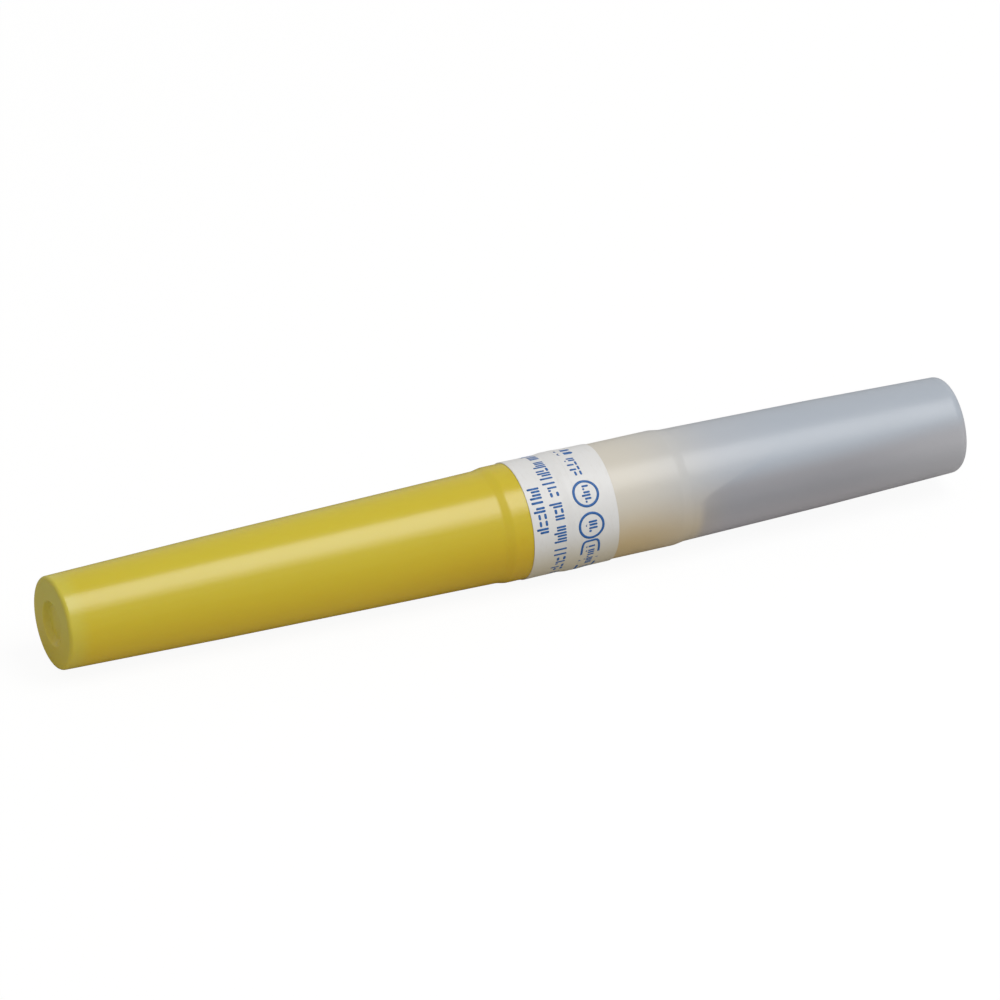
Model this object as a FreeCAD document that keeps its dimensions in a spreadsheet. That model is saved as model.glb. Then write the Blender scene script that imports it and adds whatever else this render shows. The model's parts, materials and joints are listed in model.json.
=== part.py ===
"""Blood collection needle in its sealed two-part case, in millimetres.

Every piece is drawn along its own X axis: station 0 is the closed end of the long front shield, and
stations grow towards the closed end of the short rear shield. One placement then lays the whole needle
down as it comes to rest: on the ridge of its paper seal and on the flank of the front shield.
"""
import FreeCAD, Part

import math
import os

import Sketcher

SIZES = {
    # front shield
    "front_length": 48.7,
    "front_end_diameter": 8.57,
    "front_step_diameter": 10.27,
    "front_break_station": 15.5,
    "front_break_diameter": 9.33,
    "front_collar_length": 6.6,
    "front_collar_diameter": 10.6,
    "front_mouth_diameter": 10.5,
    "front_end_round": 0.35,
    "front_end_wall": 1.4,
    "front_recess_diameter": 4.2,
    "front_recess_depth": 0.5,
    # rear shield
    "rear_length": 38.1,
    "rear_end_diameter": 8.74,
    "rear_step_diameter": 10.24,
    "rear_break_station": 13.0,
    "rear_break_diameter": 9.6,
    "rear_collar_length": 10.2,
    "rear_collar_diameter": 10.55,
    "rear_mouth_diameter": 10.62,
    "rear_mouth_length": 3.4,
    "rear_end_round": 0.9,
    "rear_end_wall": 1.4,
    "rear_recess_diameter": 2.6,
    "rear_recess_depth": 0.3,
    # both shields
    "shield_wall": 1.15,
    "collar_step": 0.25,
    "mouth_chamfer": 0.3,
    "floor_round": 0.6,
    # hub
    "hub_clearance": 0.05,
    "grip_diameter": 8.2,
    "flange_diameter": 10.6,
    "flange_width": 1.2,
    "nose_diameter": 3.4,
    "nose_cone_length": 2.0,
    "nose_setback": 0.0,
    "flute_count": 12,
    "flute_diameter": 1.3,
    "flute_depth": 0.5,
    "plug_length": 2.7,
    "plug_chamfer": 0.3,
    "thread_diameter": 7.5,
    "thread_root_diameter": 6.4,
    "thread_pitch": 2.0,
    "thread_crest": 0.5,
    "thread_flank_angle": 30,
    "thread_runout": 0.6,
    "thread_turns": 2.4,
    "threaded_length": 6.6,
    "spigot_diameter": 2.5,
    "spigot_length": 4.2,
    "barb_diameter": 3.0,
    "barb_setback": 1.9,
    "spigot_tip_diameter": 2.2,
    "well_diameter": 2.3,
    "well_floor_diameter": 1.25,
    "well_depth": 2.2,
    "bond_gap": 0.02,
    # cannula
    "cannula_diameter": 0.908,
    "cannula_bore": 0.603,
    "patient_length": 38.1,
    "tube_length": 13.0,
    "lancet_angle": 13,
    "lancet_side_angle": 22,
    "lancet_turn": 50,
    "tube_bevel_angle": 20,
    "meniscus": 0.5,
    # rubber sleeve
    "sleeve_diameter": 3.4,
    "sleeve_cuff_diameter": 4.2,
    "sleeve_cavity_diameter": 1.5,
    "sleeve_tip_gap": 0.6,
    "sleeve_end_wall": 1.0,
    "sleeve_seat_gap": 0.3,
    "sleeve_cuff_taper": 1.2,
    # paper seal
    "label_thickness": 0.08,
    "label_on_front": 4.0,
    "label_on_rear": 3.1,
    "label_clearance": 0.05,
    "label_ramp": 0.7,
}


class Size:
    """A length, angle or count, with the sheet formula that it comes from."""

    def __init__(self, value, formula):
        self.value = float(value)
        self.formula = formula

    def __add__(self, other):
        other = as_size(other)
        return Size(self.value + other.value, f"({self.formula} + {other.formula})")

    def __sub__(self, other):
        other = as_size(other)
        return Size(self.value - other.value, f"({self.formula} - {other.formula})")

    def __mul__(self, other):
        other = as_size(other)
        return Size(self.value * other.value, f"({self.formula} * {other.formula})")

    def __truediv__(self, other):
        other = as_size(other)
        return Size(self.value / other.value, f"({self.formula} / {other.formula})")

    def __neg__(self):
        return Size(-self.value, f"(0 - {self.formula})")


def as_size(number):
    """A Size as it is, or a plain number as a Size."""
    return number if isinstance(number, Size) else Size(number, f"{number}")


def squared(length):
    """The square of a size."""
    return length * length


def tangent(angle):
    """The tangent of an angle in degrees."""
    return Size(math.tan(math.radians(angle.value)), f"tan({angle.formula})")


def cosine(angle):
    """The cosine of an angle in degrees."""
    return Size(math.cos(math.radians(angle.value)), f"cos({angle.formula})")


def fill_sheet(doc):
    """Write the driving sizes into a sheet and give each back as a Size."""
    sheet = doc.addObject("Spreadsheet::Sheet", "sizes")
    for row, (name, value) in enumerate(SIZES.items(), start=1):
        sheet.set(f"A{row}", name)
        sheet.set(f"B{row}", str(value))
        sheet.setAlias(f"B{row}", name)
    doc.recompute()
    return {name: Size(getattr(sheet, name), f"sizes.{name}") for name in SIZES}


def origin_plane(body, role):
    """One of a body's own three origin planes."""
    return next(feature for feature in body.Origin.OriginFeatures if feature.Role == role)


def new_body(doc, name):
    """An empty body whose name and label are the piece's."""
    body = doc.addObject("PartDesign::Body", name)
    body.Label = name
    return body


def new_sketch(body, name, role="XZ_Plane", lift=None, turn=0.0):
    """A sketch on one of the body's origin planes, lifted off it or turned about the needle's axis."""
    sketch = body.newObject("Sketcher::SketchObject", name)
    sketch.AttachmentSupport = [(origin_plane(body, role), "")]
    sketch.MapMode = "FlatFace"
    if turn:
        sketch.AttachmentOffset = FreeCAD.Placement(
            FreeCAD.Vector(0, 0, 0), FreeCAD.Rotation(FreeCAD.Vector(1, 0, 0), turn)
        )
    if lift is not None:
        sketch.setExpression("AttachmentOffset.Base.z", lift.formula)
    return sketch


def pin_point(sketch, curve, end, station, radius):
    """Hold one end of a curve at a station along the axis and a distance from it."""
    for kind, size in (("DistanceX", station), ("DistanceY", radius)):
        index = sketch.addConstraint(Sketcher.Constraint(kind, -1, 1, curve, end, size.value))
        sketch.setExpression(f"Constraints[{index}]", size.formula)


def arc_between(first, last, bulge):
    """The arc, drawn anticlockwise, that joins two points and stands out by bulge to the left of the way."""
    start, stop = FreeCAD.Vector(*first, 0), FreeCAD.Vector(*last, 0)
    way = stop - start
    left = FreeCAD.Vector(-way.y, way.x, 0).normalize()
    middle = (start + stop) / 2 + left * bulge
    return Part.Arc(stop, middle, start) if bulge > 0 else Part.Arc(start, middle, stop)


def draw_profile(sketch, points, bulges=None):
    """Draw a closed outline through the points, each pinned by its own formulas.

    bulges gives, for the leg that starts at a point, how far it stands out from straight.
    """
    bulges = bulges or {}
    count = len(points)
    for place, (station, radius) in enumerate(points):
        after = points[(place + 1) % count]
        first = (station.value, radius.value)
        last = (after[0].value, after[1].value)
        if place in bulges:
            arc = arc_between(first, last, bulges[place].value)
            sketch.addGeometry(arc, False)
        else:
            line = Part.LineSegment(FreeCAD.Vector(*first, 0), FreeCAD.Vector(*last, 0))
            sketch.addGeometry(line, False)
    ends = [leg_ends(sketch.Geometry[place], points[place]) for place in range(count)]
    for place in range(count):
        after = (place + 1) % count
        joint = Sketcher.Constraint("Coincident", place, ends[place][1], after, ends[after][0])
        sketch.addConstraint(joint)
    for place, (station, radius) in enumerate(points):
        pin_point(sketch, place, ends[place][0], station, radius)
    for place, bulge in bulges.items():
        after = points[(place + 1) % count]
        run = squared(after[0] - points[place][0]) + squared(after[1] - points[place][1])
        height = bulge if bulge.value > 0 else -bulge
        curve = (run / 4 + squared(height)) / (height * 2)
        index = sketch.addConstraint(Sketcher.Constraint("Radius", place, curve.value))
        sketch.setExpression(f"Constraints[{index}]", curve.formula)


def leg_ends(leg, point):
    """Which end numbers of a leg are its first and last point along the outline."""
    place = FreeCAD.Vector(point[0].value, point[1].value, 0)
    nearer_start = (leg.StartPoint - place).Length <= (leg.EndPoint - place).Length
    return (1, 2) if nearer_start else (2, 1)


def revolve(body, name, points, bulges=None, kind="PartDesign::Revolution"):
    """Turn a closed outline once round the needle's axis, to add or to cut away."""
    sketch = new_sketch(body, f"{name}_outline")
    draw_profile(sketch, points, bulges)
    feature = body.newObject(kind, name)
    feature.Profile = sketch
    feature.ReferenceAxis = (sketch, ["H_Axis"])
    feature.Angle = 360
    sketch.Visibility = False
    return feature


def groove(body, name, points, bulges=None):
    """Cut a closed outline, turned once round the axis, out of the body."""
    return revolve(body, name, points, bulges, kind="PartDesign::Groove")


def circle_edges(shape, station, diameter):
    """The names of the round edges at a station that have this diameter."""
    names = []
    for number, edge in enumerate(shape.Edges, start=1):
        if edge.Degenerated or not isinstance(edge.Curve, Part.Circle):
            continue
        curve = edge.Curve
        at_station = abs(curve.Center.x - station.value) < 1e-4
        if at_station and abs(2 * curve.Radius - diameter.value) < 1e-4:
            names.append(f"Edge{number}")
    return names


def round_edge(doc, body, name, station, diameter, radius, kind="PartDesign::Fillet"):
    """Round or bevel the edge of one diameter at one station."""
    doc.recompute()
    base = body.Tip
    edges = circle_edges(base.Shape, station, diameter)
    if not edges:
        raise RuntimeError(f"{body.Label}: no edge for {name}")
    feature = body.newObject(kind, name)
    feature.Base = (base, edges)
    size = "Radius" if kind == "PartDesign::Fillet" else "Size"
    feature.setExpression(size, radius.formula)
    return feature


def bevel_edge(doc, body, name, station, diameter, size):
    """Bevel the edge of one diameter at one station."""
    return round_edge(doc, body, name, station, diameter, size, kind="PartDesign::Chamfer")


def stations(size):
    """The places along the axis that more than one piece is set by."""
    place = {"front_end": as_size(0)}
    place["front_mouth"] = size["front_length"]
    place["front_step"] = place["front_mouth"] - size["front_collar_length"]
    place["rear_mouth"] = place["front_mouth"] + size["flange_width"]
    place["tear_line"] = place["front_mouth"] + size["flange_width"] / 2
    place["rear_step"] = place["rear_mouth"] + size["rear_collar_length"]
    place["rear_end"] = place["rear_mouth"] + size["rear_length"]
    place["nose"] = place["front_step"] + size["nose_setback"]
    place["plug_end"] = place["rear_mouth"] + size["plug_length"]
    place["hub_back"] = place["plug_end"] + size["threaded_length"]
    place["spigot_tip"] = place["hub_back"] + size["spigot_length"]
    place["patient_tip"] = place["nose"] - size["patient_length"]
    place["tube_tip"] = place["spigot_tip"] + size["tube_length"]
    return place


def front_shield(doc, size, place):
    """The long case half: a closed tube, tapered a little more towards its tip, with a collar at its mouth."""
    body = new_body(doc, "front_shield")
    axis = as_size(0)
    revolve(
        body,
        "front_case",
        [
            (place["front_end"], axis),
            (place["front_end"], size["front_end_diameter"] / 2),
            (place["front_end"] + size["front_break_station"], size["front_break_diameter"] / 2),
            (place["front_step"], size["front_step_diameter"] / 2),
            (place["front_step"] + size["collar_step"], size["front_collar_diameter"] / 2),
            (place["front_mouth"] - size["label_on_front"], size["front_collar_diameter"] / 2),
            (place["front_mouth"], size["front_mouth_diameter"] / 2),
            (place["front_mouth"], axis),
        ],
    )
    cavity_floor = place["front_end"] + size["front_end_wall"]
    groove(
        body,
        "front_cavity",
        [
            (cavity_floor, axis),
            (cavity_floor, size["front_end_diameter"] / 2 - size["shield_wall"]),
            (place["front_end"] + size["front_break_station"], size["front_break_diameter"] / 2 - size["shield_wall"]),
            (place["front_step"], size["front_step_diameter"] / 2 - size["shield_wall"]),
            (place["front_step"], size["grip_diameter"] / 2),
            (place["front_mouth"] + size["flange_width"], size["grip_diameter"] / 2),
            (place["front_mouth"] + size["flange_width"], axis),
        ],
    )
    recess = size["front_recess_diameter"] / 2
    groove(
        body,
        "front_gate_recess",
        [(place["front_end"], axis), (place["front_end"], recess), (size["front_recess_depth"], axis)],
        {1: -size["front_recess_depth"] / 4},
    )
    round_edge(
        doc, body, "front_end_rounding", place["front_end"], size["front_end_diameter"], size["front_end_round"]
    )
    cavity_diameter = size["front_end_diameter"] - size["shield_wall"] * 2
    round_edge(doc, body, "front_floor_rounding", cavity_floor, cavity_diameter, size["floor_round"])
    bevel_edge(
        doc, body, "front_mouth_bevel", place["front_mouth"], size["grip_diameter"], size["mouth_chamfer"]
    )
    return body


def rear_shield(doc, size, place):
    """The short case half: a milky tapered tube, closed at its tip, with a long collar at its mouth."""
    body = new_body(doc, "rear_shield")
    axis = as_size(0)
    revolve(
        body,
        "rear_case",
        [
            (place["rear_mouth"], axis),
            (place["rear_mouth"], size["rear_mouth_diameter"] / 2),
            (place["rear_mouth"] + size["rear_mouth_length"], size["rear_collar_diameter"] / 2),
            (place["rear_step"] - size["collar_step"], size["rear_collar_diameter"] / 2),
            (place["rear_step"], size["rear_step_diameter"] / 2),
            (place["rear_end"] - size["rear_break_station"], size["rear_break_diameter"] / 2),
            (place["rear_end"], size["rear_end_diameter"] / 2),
            (place["rear_end"], axis),
        ],
    )
    cavity_floor = place["rear_end"] - size["rear_end_wall"]
    groove(
        body,
        "rear_cavity",
        [
            (place["rear_mouth"] - size["flange_width"], axis),
            (place["rear_mouth"] - size["flange_width"], size["grip_diameter"] / 2),
            (place["rear_step"], size["grip_diameter"] / 2),
            (place["rear_step"], size["rear_step_diameter"] / 2 - size["shield_wall"]),
            (place["rear_end"] - size["rear_break_station"], size["rear_break_diameter"] / 2 - size["shield_wall"]),
            (cavity_floor, size["rear_end_diameter"] / 2 - size["shield_wall"]),
            (cavity_floor, axis),
        ],
    )
    recess = size["rear_recess_diameter"] / 2
    groove(
        body,
        "rear_gate_recess",
        [
            (place["rear_end"], axis),
            (place["rear_end"] - size["rear_recess_depth"], axis),
            (place["rear_end"], recess),
        ],
        {1: -size["rear_recess_depth"] / 4},
    )
    round_edge(
        doc, body, "rear_end_rounding", place["rear_end"], size["rear_end_diameter"], size["rear_end_round"]
    )
    cavity_diameter = size["rear_end_diameter"] - size["shield_wall"] * 2
    round_edge(doc, body, "rear_floor_rounding", cavity_floor, cavity_diameter, size["floor_round"])
    bevel_edge(
        doc, body, "rear_mouth_bevel", place["rear_mouth"], size["grip_diameter"], size["mouth_chamfer"]
    )
    return body


def hub(doc, size, place):
    """The moulded hub: nose and fluted barrel, stop flange, plug, coarse male thread, barbed spigot."""
    body = new_body(doc, "hub")
    axis = as_size(0)
    crest = size["grip_diameter"] / 2 - size["hub_clearance"]
    revolve(
        body,
        "hub_turned_form",
        [
            (place["nose"], axis),
            (place["nose"], size["nose_diameter"] / 2),
            (place["nose"] + size["nose_cone_length"], crest),
            (place["front_mouth"], crest),
            (place["front_mouth"], size["flange_diameter"] / 2),
            (place["rear_mouth"], size["flange_diameter"] / 2),
            (place["rear_mouth"], crest),
            (place["plug_end"] - size["plug_chamfer"], crest),
            (place["plug_end"], size["thread_root_diameter"] / 2),
            (place["hub_back"], size["thread_root_diameter"] / 2),
            (place["hub_back"], size["spigot_diameter"] / 2),
            (place["spigot_tip"] - size["barb_setback"], size["spigot_diameter"] / 2),
            (place["spigot_tip"] - size["barb_setback"], size["barb_diameter"] / 2),
            (place["spigot_tip"], size["spigot_tip_diameter"] / 2),
            (place["spigot_tip"], axis),
        ],
    )
    hub_thread(doc, body, size, place)
    hub_flutes(doc, body, size, place, crest)
    bore = size["cannula_diameter"] / 2 + size["bond_gap"]
    groove(
        body,
        "hub_bore_and_well",
        [
            (place["nose"] - size["nose_cone_length"], axis),
            (place["nose"] - size["nose_cone_length"], size["well_diameter"] / 2),
            (place["nose"], size["well_diameter"] / 2),
            (place["nose"] + size["well_depth"], size["well_floor_diameter"] / 2),
            (place["nose"] + size["well_depth"], bore),
            (place["spigot_tip"] + size["spigot_length"], bore),
            (place["spigot_tip"] + size["spigot_length"], axis),
        ],
    )
    return body


def hub_thread(doc, body, size, place):
    """A coarse male thread for the tube holder, wound on the root behind the plug."""
    root = size["thread_root_diameter"] / 2
    crest = size["thread_diameter"] / 2
    slope = (crest - root) * tangent(size["thread_flank_angle"])
    start = place["plug_end"] + size["thread_runout"]
    sunk = size["thread_runout"] / 4
    sketch = new_sketch(body, "thread_outline")
    draw_profile(
        sketch,
        [
            (start, root - sunk),
            (start, root),
            (start + slope, crest),
            (start + slope + size["thread_crest"], crest),
            (start + slope * 2 + size["thread_crest"], root),
            (start + slope * 2 + size["thread_crest"], root - sunk),
        ],
    )
    helix = body.newObject("PartDesign::AdditiveHelix", "thread")
    helix.Profile = sketch
    helix.ReferenceAxis = (sketch, ["H_Axis"])
    helix.Mode = "pitch-turns-angle"
    helix.setExpression("Pitch", size["thread_pitch"].formula)
    helix.setExpression("Turns", size["thread_turns"].formula)
    helix.Angle = 0
    helix.LeftHanded = False
    helix.Reversed = False
    sketch.Visibility = False
    doc.recompute()
    return helix


def hub_flutes(doc, body, size, place, crest):
    """Flutes along the barrel, whose crests grip the front shield."""
    centre = crest + size["flute_diameter"] / 2 - size["flute_depth"]
    start = place["nose"] - size["nose_cone_length"]
    sketch = new_sketch(body, "flute_outline", "YZ_Plane", lift=start)
    sketch.addGeometry(
        Part.Circle(
            FreeCAD.Vector(0, centre.value, 0), FreeCAD.Vector(0, 0, 1), size["flute_diameter"].value / 2
        ),
        False,
    )
    across = sketch.addConstraint(Sketcher.Constraint("Diameter", 0, size["flute_diameter"].value))
    sketch.setExpression(f"Constraints[{across}]", size["flute_diameter"].formula)
    pin_point(sketch, 0, 3, as_size(0), centre)
    pocket = body.newObject("PartDesign::Pocket", "flute")
    pocket.Profile = sketch
    pocket.Reversed = True
    length = place["front_mouth"] - start
    pocket.setExpression("Length", length.formula)
    sketch.Visibility = False
    doc.recompute()
    pattern = body.newObject("PartDesign::PolarPattern", "flutes")
    pattern.Originals = [pocket]
    pattern.Axis = (sketch, ["N_Axis"])
    pattern.Angle = 360
    pattern.setExpression("Occurrences", size["flute_count"].formula)
    pattern.Axis = (next(f for f in body.Origin.OriginFeatures if f.Role == "X_Axis"), [""])
    body.Tip = pattern
    doc.recompute()
    return pattern


def cannula(doc, size, place):
    """The steel tube, ground to a lancet point for the vein and a short point for the tube's stopper."""
    body = new_body(doc, "cannula")
    sketch = new_sketch(body, "cannula_section", "YZ_Plane", lift=place["patient_tip"])
    for number, name in enumerate(("cannula_diameter", "cannula_bore")):
        circle = Part.Circle(FreeCAD.Vector(0, 0, 0), FreeCAD.Vector(0, 0, 1), size[name].value / 2)
        sketch.addGeometry(circle, False)
        sketch.addConstraint(Sketcher.Constraint("Coincident", number, 3, -1, 1))
        across = sketch.addConstraint(Sketcher.Constraint("Diameter", number, size[name].value))
        sketch.setExpression(f"Constraints[{across}]", size[name].formula)
    tube = body.newObject("PartDesign::Pad", "cannula_tube")
    tube.Profile = sketch
    tube.setExpression("Length", (place["tube_tip"] - place["patient_tip"]).formula)
    sketch.Visibility = False
    doc.recompute()

    radius = size["cannula_diameter"] / 2
    grind(doc, body, "lancet_face", place["patient_tip"], as_size(0), size["lancet_angle"], radius, 0.0)
    drop = radius - radius * cosine(size["lancet_turn"])
    for name, turn in (("lancet_left", 1), ("lancet_right", -1)):
        angle = size["lancet_side_angle"]
        back = drop / tangent(angle)
        grind(doc, body, name, place["patient_tip"], back, angle, radius, turn * size["lancet_turn"].value)
    grind(
        doc, body, "tube_point", place["tube_tip"], as_size(0), size["tube_bevel_angle"], radius, 0.0, forward=False
    )
    return body


def grind(doc, body, name, tip, back, angle, radius, turn, forward=True):
    """Grind a flat face at an angle to the axis, through the lower side of the tube near its tip."""
    reach = radius * 3 / tangent(angle)
    toe = tip - back if forward else tip + back
    heel = toe + reach if forward else toe - reach
    beyond = toe - radius if forward else toe + radius
    sketch = new_sketch(body, f"{name}_outline", turn=turn)
    draw_profile(sketch, [(toe, -radius), (heel, radius * 2), (beyond, radius * 2), (beyond, -radius)])
    pocket = body.newObject("PartDesign::Pocket", name)
    pocket.Profile = sketch
    pocket.Type = "ThroughAll"
    pocket.SideType = "Symmetric"
    sketch.Visibility = False
    doc.recompute()
    return pocket


def adhesive_bead(doc, size, place):
    """Cured resin that fills the hub's well and climbs a little way up the cannula."""
    body = new_body(doc, "adhesive_bead")
    tube = size["cannula_diameter"] / 2
    revolve(
        body,
        "bead",
        [
            (place["nose"] + size["well_depth"], tube),
            (place["nose"] - size["meniscus"], tube),
            (place["nose"], size["well_diameter"] / 2),
            (place["nose"] + size["well_depth"], size["well_floor_diameter"] / 2),
        ],
        {1: -size["meniscus"] / 6},
    )
    return body


def rubber_sleeve(doc, size, place):
    """The closed elastomer sleeve over the tube needle, stretched over the barb of the spigot."""
    body = new_body(doc, "rubber_sleeve")
    axis = as_size(0)
    barb = place["spigot_tip"] - size["barb_setback"]
    mouth = place["hub_back"] + size["sleeve_seat_gap"]
    cavity_end = place["tube_tip"] + size["sleeve_tip_gap"]
    closed_end = cavity_end + size["sleeve_end_wall"]
    revolve(
        body,
        "sleeve_wall",
        [
            (mouth, size["spigot_diameter"] / 2),
            (mouth, size["sleeve_cuff_diameter"] / 2),
            (place["spigot_tip"], size["sleeve_cuff_diameter"] / 2),
            (place["spigot_tip"] + size["sleeve_cuff_taper"], size["sleeve_diameter"] / 2),
            (closed_end, size["sleeve_diameter"] / 2),
            (closed_end, axis),
            (cavity_end, axis),
            (cavity_end, size["sleeve_cavity_diameter"] / 2),
            (place["spigot_tip"], size["sleeve_cavity_diameter"] / 2),
            (place["spigot_tip"], size["spigot_tip_diameter"] / 2),
            (barb, size["barb_diameter"] / 2),
            (barb, size["spigot_diameter"] / 2),
        ],
    )
    round_edge(
        doc, body, "sleeve_end_rounding", closed_end, size["sleeve_diameter"], size["sleeve_end_wall"] * 0.8
    )
    return body


def paper_ring(doc, name, line, thickness):
    """A band of label paper whose inner side follows a line of stations and radii."""
    body = new_body(doc, name)
    outer = [(station, radius + thickness) for station, radius in reversed(line)]
    revolve(body, f"{name}_wrap", line + outer)
    return body


def seal_label(doc, size, place):
    """The paper seal, as its two halves on either side of the tear line over the flange."""
    ridge = size["flange_diameter"] / 2 + size["label_clearance"]
    collar = size["front_collar_diameter"] / 2
    mouth = size["front_mouth_diameter"] / 2
    edge = place["front_mouth"] - size["label_on_front"]
    ramp = place["front_mouth"] - size["label_ramp"]
    ramp_share = (size["label_on_front"] - size["label_ramp"]) / size["label_on_front"]
    front = [
        (edge, collar),
        (ramp, collar + (mouth - collar) * ramp_share),
        (place["front_mouth"], ridge),
        (place["tear_line"], ridge),
    ]
    rear_rim = size["rear_mouth_diameter"] / 2
    rear_collar = size["rear_collar_diameter"] / 2
    slope = (rear_collar - rear_rim) / size["rear_mouth_length"]
    rear = [
        (place["tear_line"], ridge),
        (place["rear_mouth"], ridge),
        (place["rear_mouth"] + size["label_ramp"], rear_rim + slope * size["label_ramp"]),
        (place["rear_mouth"] + size["label_on_rear"], rear_rim + slope * size["label_on_rear"]),
    ]
    thickness = size["label_thickness"]
    return [
        paper_ring(doc, "seal_label_front", front, thickness),
        paper_ring(doc, "seal_label_rear", rear, thickness),
    ]


def floor_points(size, place):
    """The rims, as station and radius, that the lying needle could touch the floor with."""
    ridge = size["flange_diameter"] / 2 + size["label_clearance"] + size["label_thickness"]
    rims = [
        (place["front_end"] + size["front_end_round"], size["front_end_diameter"] / 2),
        (place["front_end"] + size["front_break_station"], size["front_break_diameter"] / 2),
        (place["front_step"] + size["collar_step"], size["front_collar_diameter"] / 2),
        (
            place["front_mouth"] - size["label_on_front"],
            size["front_collar_diameter"] / 2 + size["label_thickness"],
        ),
        (place["front_mouth"], ridge),
        (place["rear_mouth"], ridge),
        (place["rear_step"] - size["collar_step"], size["rear_collar_diameter"] / 2),
        (place["rear_end"] - size["rear_break_station"], size["rear_break_diameter"] / 2),
        (place["rear_end"] - size["rear_end_round"], size["rear_end_diameter"] / 2),
    ]
    return [(station.value, radius.value) for station, radius in rims]


def resting_rims(rims, balance):
    """The two rims that carry the needle: a line through them clears the rest, and they straddle its balance."""
    for first in rims:
        for last in rims:
            if not first[0] <= balance < last[0]:
                continue
            slope = (last[1] - first[1]) / (last[0] - first[0])
            highest = max(radius - first[1] - slope * (station - first[0]) for station, radius in rims)
            if highest < 1e-9:
                return first, last
    raise RuntimeError("the needle has no two rims to lie on")


def lay_down(bodies, size, place):
    """Place every piece so that the whole needle lies at rest with the origin under its middle."""
    volume = sum(body.Shape.Volume for body in bodies)
    balance = sum(body.Shape.Volume * body.Shape.CenterOfGravity.x for body in bodies) / volume
    first, last = resting_rims(floor_points(size, place), balance)
    tilt = math.degrees(math.atan2(last[1] - first[1], last[0] - first[0]))
    turn = FreeCAD.Rotation(FreeCAD.Vector(0, 1, 0), -tilt)
    low_point = turn.multVec(FreeCAD.Vector(last[0], 0, -last[1]))
    turned = [body.Shape.transformed(FreeCAD.Placement(FreeCAD.Vector(), turn).toMatrix()) for body in bodies]
    box = Part.makeCompound(turned).optimalBoundingBox(False)
    shift = FreeCAD.Vector(-(box.XMin + box.XMax) / 2, 0, -low_point.z)
    for body in bodies:
        body.Placement = FreeCAD.Placement(shift, turn)
    return tilt, shift


def check(doc, bodies):
    """Stop if any feature failed, or a piece isn't one sound solid."""
    for feature in doc.Objects:
        if "Invalid" in feature.State or "Error" in feature.State:
            raise RuntimeError(f"{feature.Name} failed: {feature.State}")
    for body in bodies:
        shape = body.Shape
        if shape.isNull() or not shape.isValid() or len(shape.Solids) != 1:
            raise RuntimeError(f"{body.Label} isn't one sound solid")


def main():
    """Build the needle and write each piece."""
    doc = FreeCAD.newDocument("blood_collection_needle")
    size = fill_sheet(doc)
    place = stations(size)
    bodies = [
        front_shield(doc, size, place),
        rear_shield(doc, size, place),
        hub(doc, size, place),
        cannula(doc, size, place),
        adhesive_bead(doc, size, place),
        rubber_sleeve(doc, size, place),
        *seal_label(doc, size, place),
    ]
    doc.recompute()
    check(doc, bodies)
    tilt, shift = lay_down(bodies, size, place)
    doc.recompute()
    check(doc, bodies)
    print(f"lies at {tilt:.4f} degrees, moved by {shift.x:.4f} {shift.z:.4f}")
    os.makedirs("parts", exist_ok=True)
    for body in bodies:
        body.Shape.exportStep(os.path.join("parts", f"{body.Label}.step"))
        print(f"{body.Label}: {body.Shape.Volume:.2f} cubic millimetres")


main()
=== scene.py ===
"""Blood collection needle in its sealed two-part case: the finished look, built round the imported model.

Every piece is a surface worked out on a grid about the needle's own axis. Stations are millimetres along
that axis from the closed end of the yellow shield, radii are millimetres from it, and angles turn from the
top of the lying needle towards the viewer's side. NeedleAxis puts them into the model's frame in metres.
"""

import json
import logging
import math
from collections.abc import Sequence
from dataclasses import dataclass
from enum import Enum

import bmesh
import bpy
import numpy as np
from mathutils import Matrix, Vector


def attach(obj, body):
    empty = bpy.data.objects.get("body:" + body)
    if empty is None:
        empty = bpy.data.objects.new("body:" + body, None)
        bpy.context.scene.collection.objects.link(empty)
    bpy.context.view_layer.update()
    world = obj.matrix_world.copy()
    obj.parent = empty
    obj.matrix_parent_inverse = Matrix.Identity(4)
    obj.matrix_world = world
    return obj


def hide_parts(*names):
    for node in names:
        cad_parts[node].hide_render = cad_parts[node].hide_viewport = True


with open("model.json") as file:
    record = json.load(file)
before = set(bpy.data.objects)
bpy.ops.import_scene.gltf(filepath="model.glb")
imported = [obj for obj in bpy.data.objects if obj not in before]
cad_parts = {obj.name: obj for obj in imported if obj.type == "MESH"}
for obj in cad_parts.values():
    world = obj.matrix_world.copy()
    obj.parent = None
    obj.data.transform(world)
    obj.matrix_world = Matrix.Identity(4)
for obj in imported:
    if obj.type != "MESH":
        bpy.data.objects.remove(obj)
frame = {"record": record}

log = logging.getLogger("blood_collection_needle")

MILLIMETRE = 0.001
FULL_TURN = 2 * math.pi

# A linear colour, and the two places between which something changes smoothly, in millimetres.
Colour = tuple[float, float, float]
Span = tuple[float, float]


class Body(Enum):
    """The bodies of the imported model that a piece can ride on."""

    NEEDLE = "needle"
    FRONT_CASE = "front_case"
    REAR_CASE = "rear_case"


class Slot(Enum):
    """The record's material slots."""

    YELLOW_CASE = "yellow_case"
    MILKY_CASE = "milky_case"
    SEAL_PAPER = "seal_paper"
    HUB_PLASTIC = "hub_plastic"
    NEEDLE_STEEL = "needle_steel"
    RESIN = "resin"
    SLEEVE_RUBBER = "sleeve_rubber"


def linear(red: int, green: int, blue: int) -> Colour:
    """Turn a screen colour into the linear one that shaders use.

    Args:
        red: Red from 0 to 255.
        green: Green from 0 to 255.
        blue: Blue from 0 to 255.

    Returns:
        The linear colour, by the sRGB curve.
    """
    share = np.array((red, green, blue)) / 255
    curve = np.where(share <= 0.04045, share / 12.92, ((share + 0.055) / 1.055) ** 2.4)
    return tuple(float(value) for value in curve)


# Geometry about the axis


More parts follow.
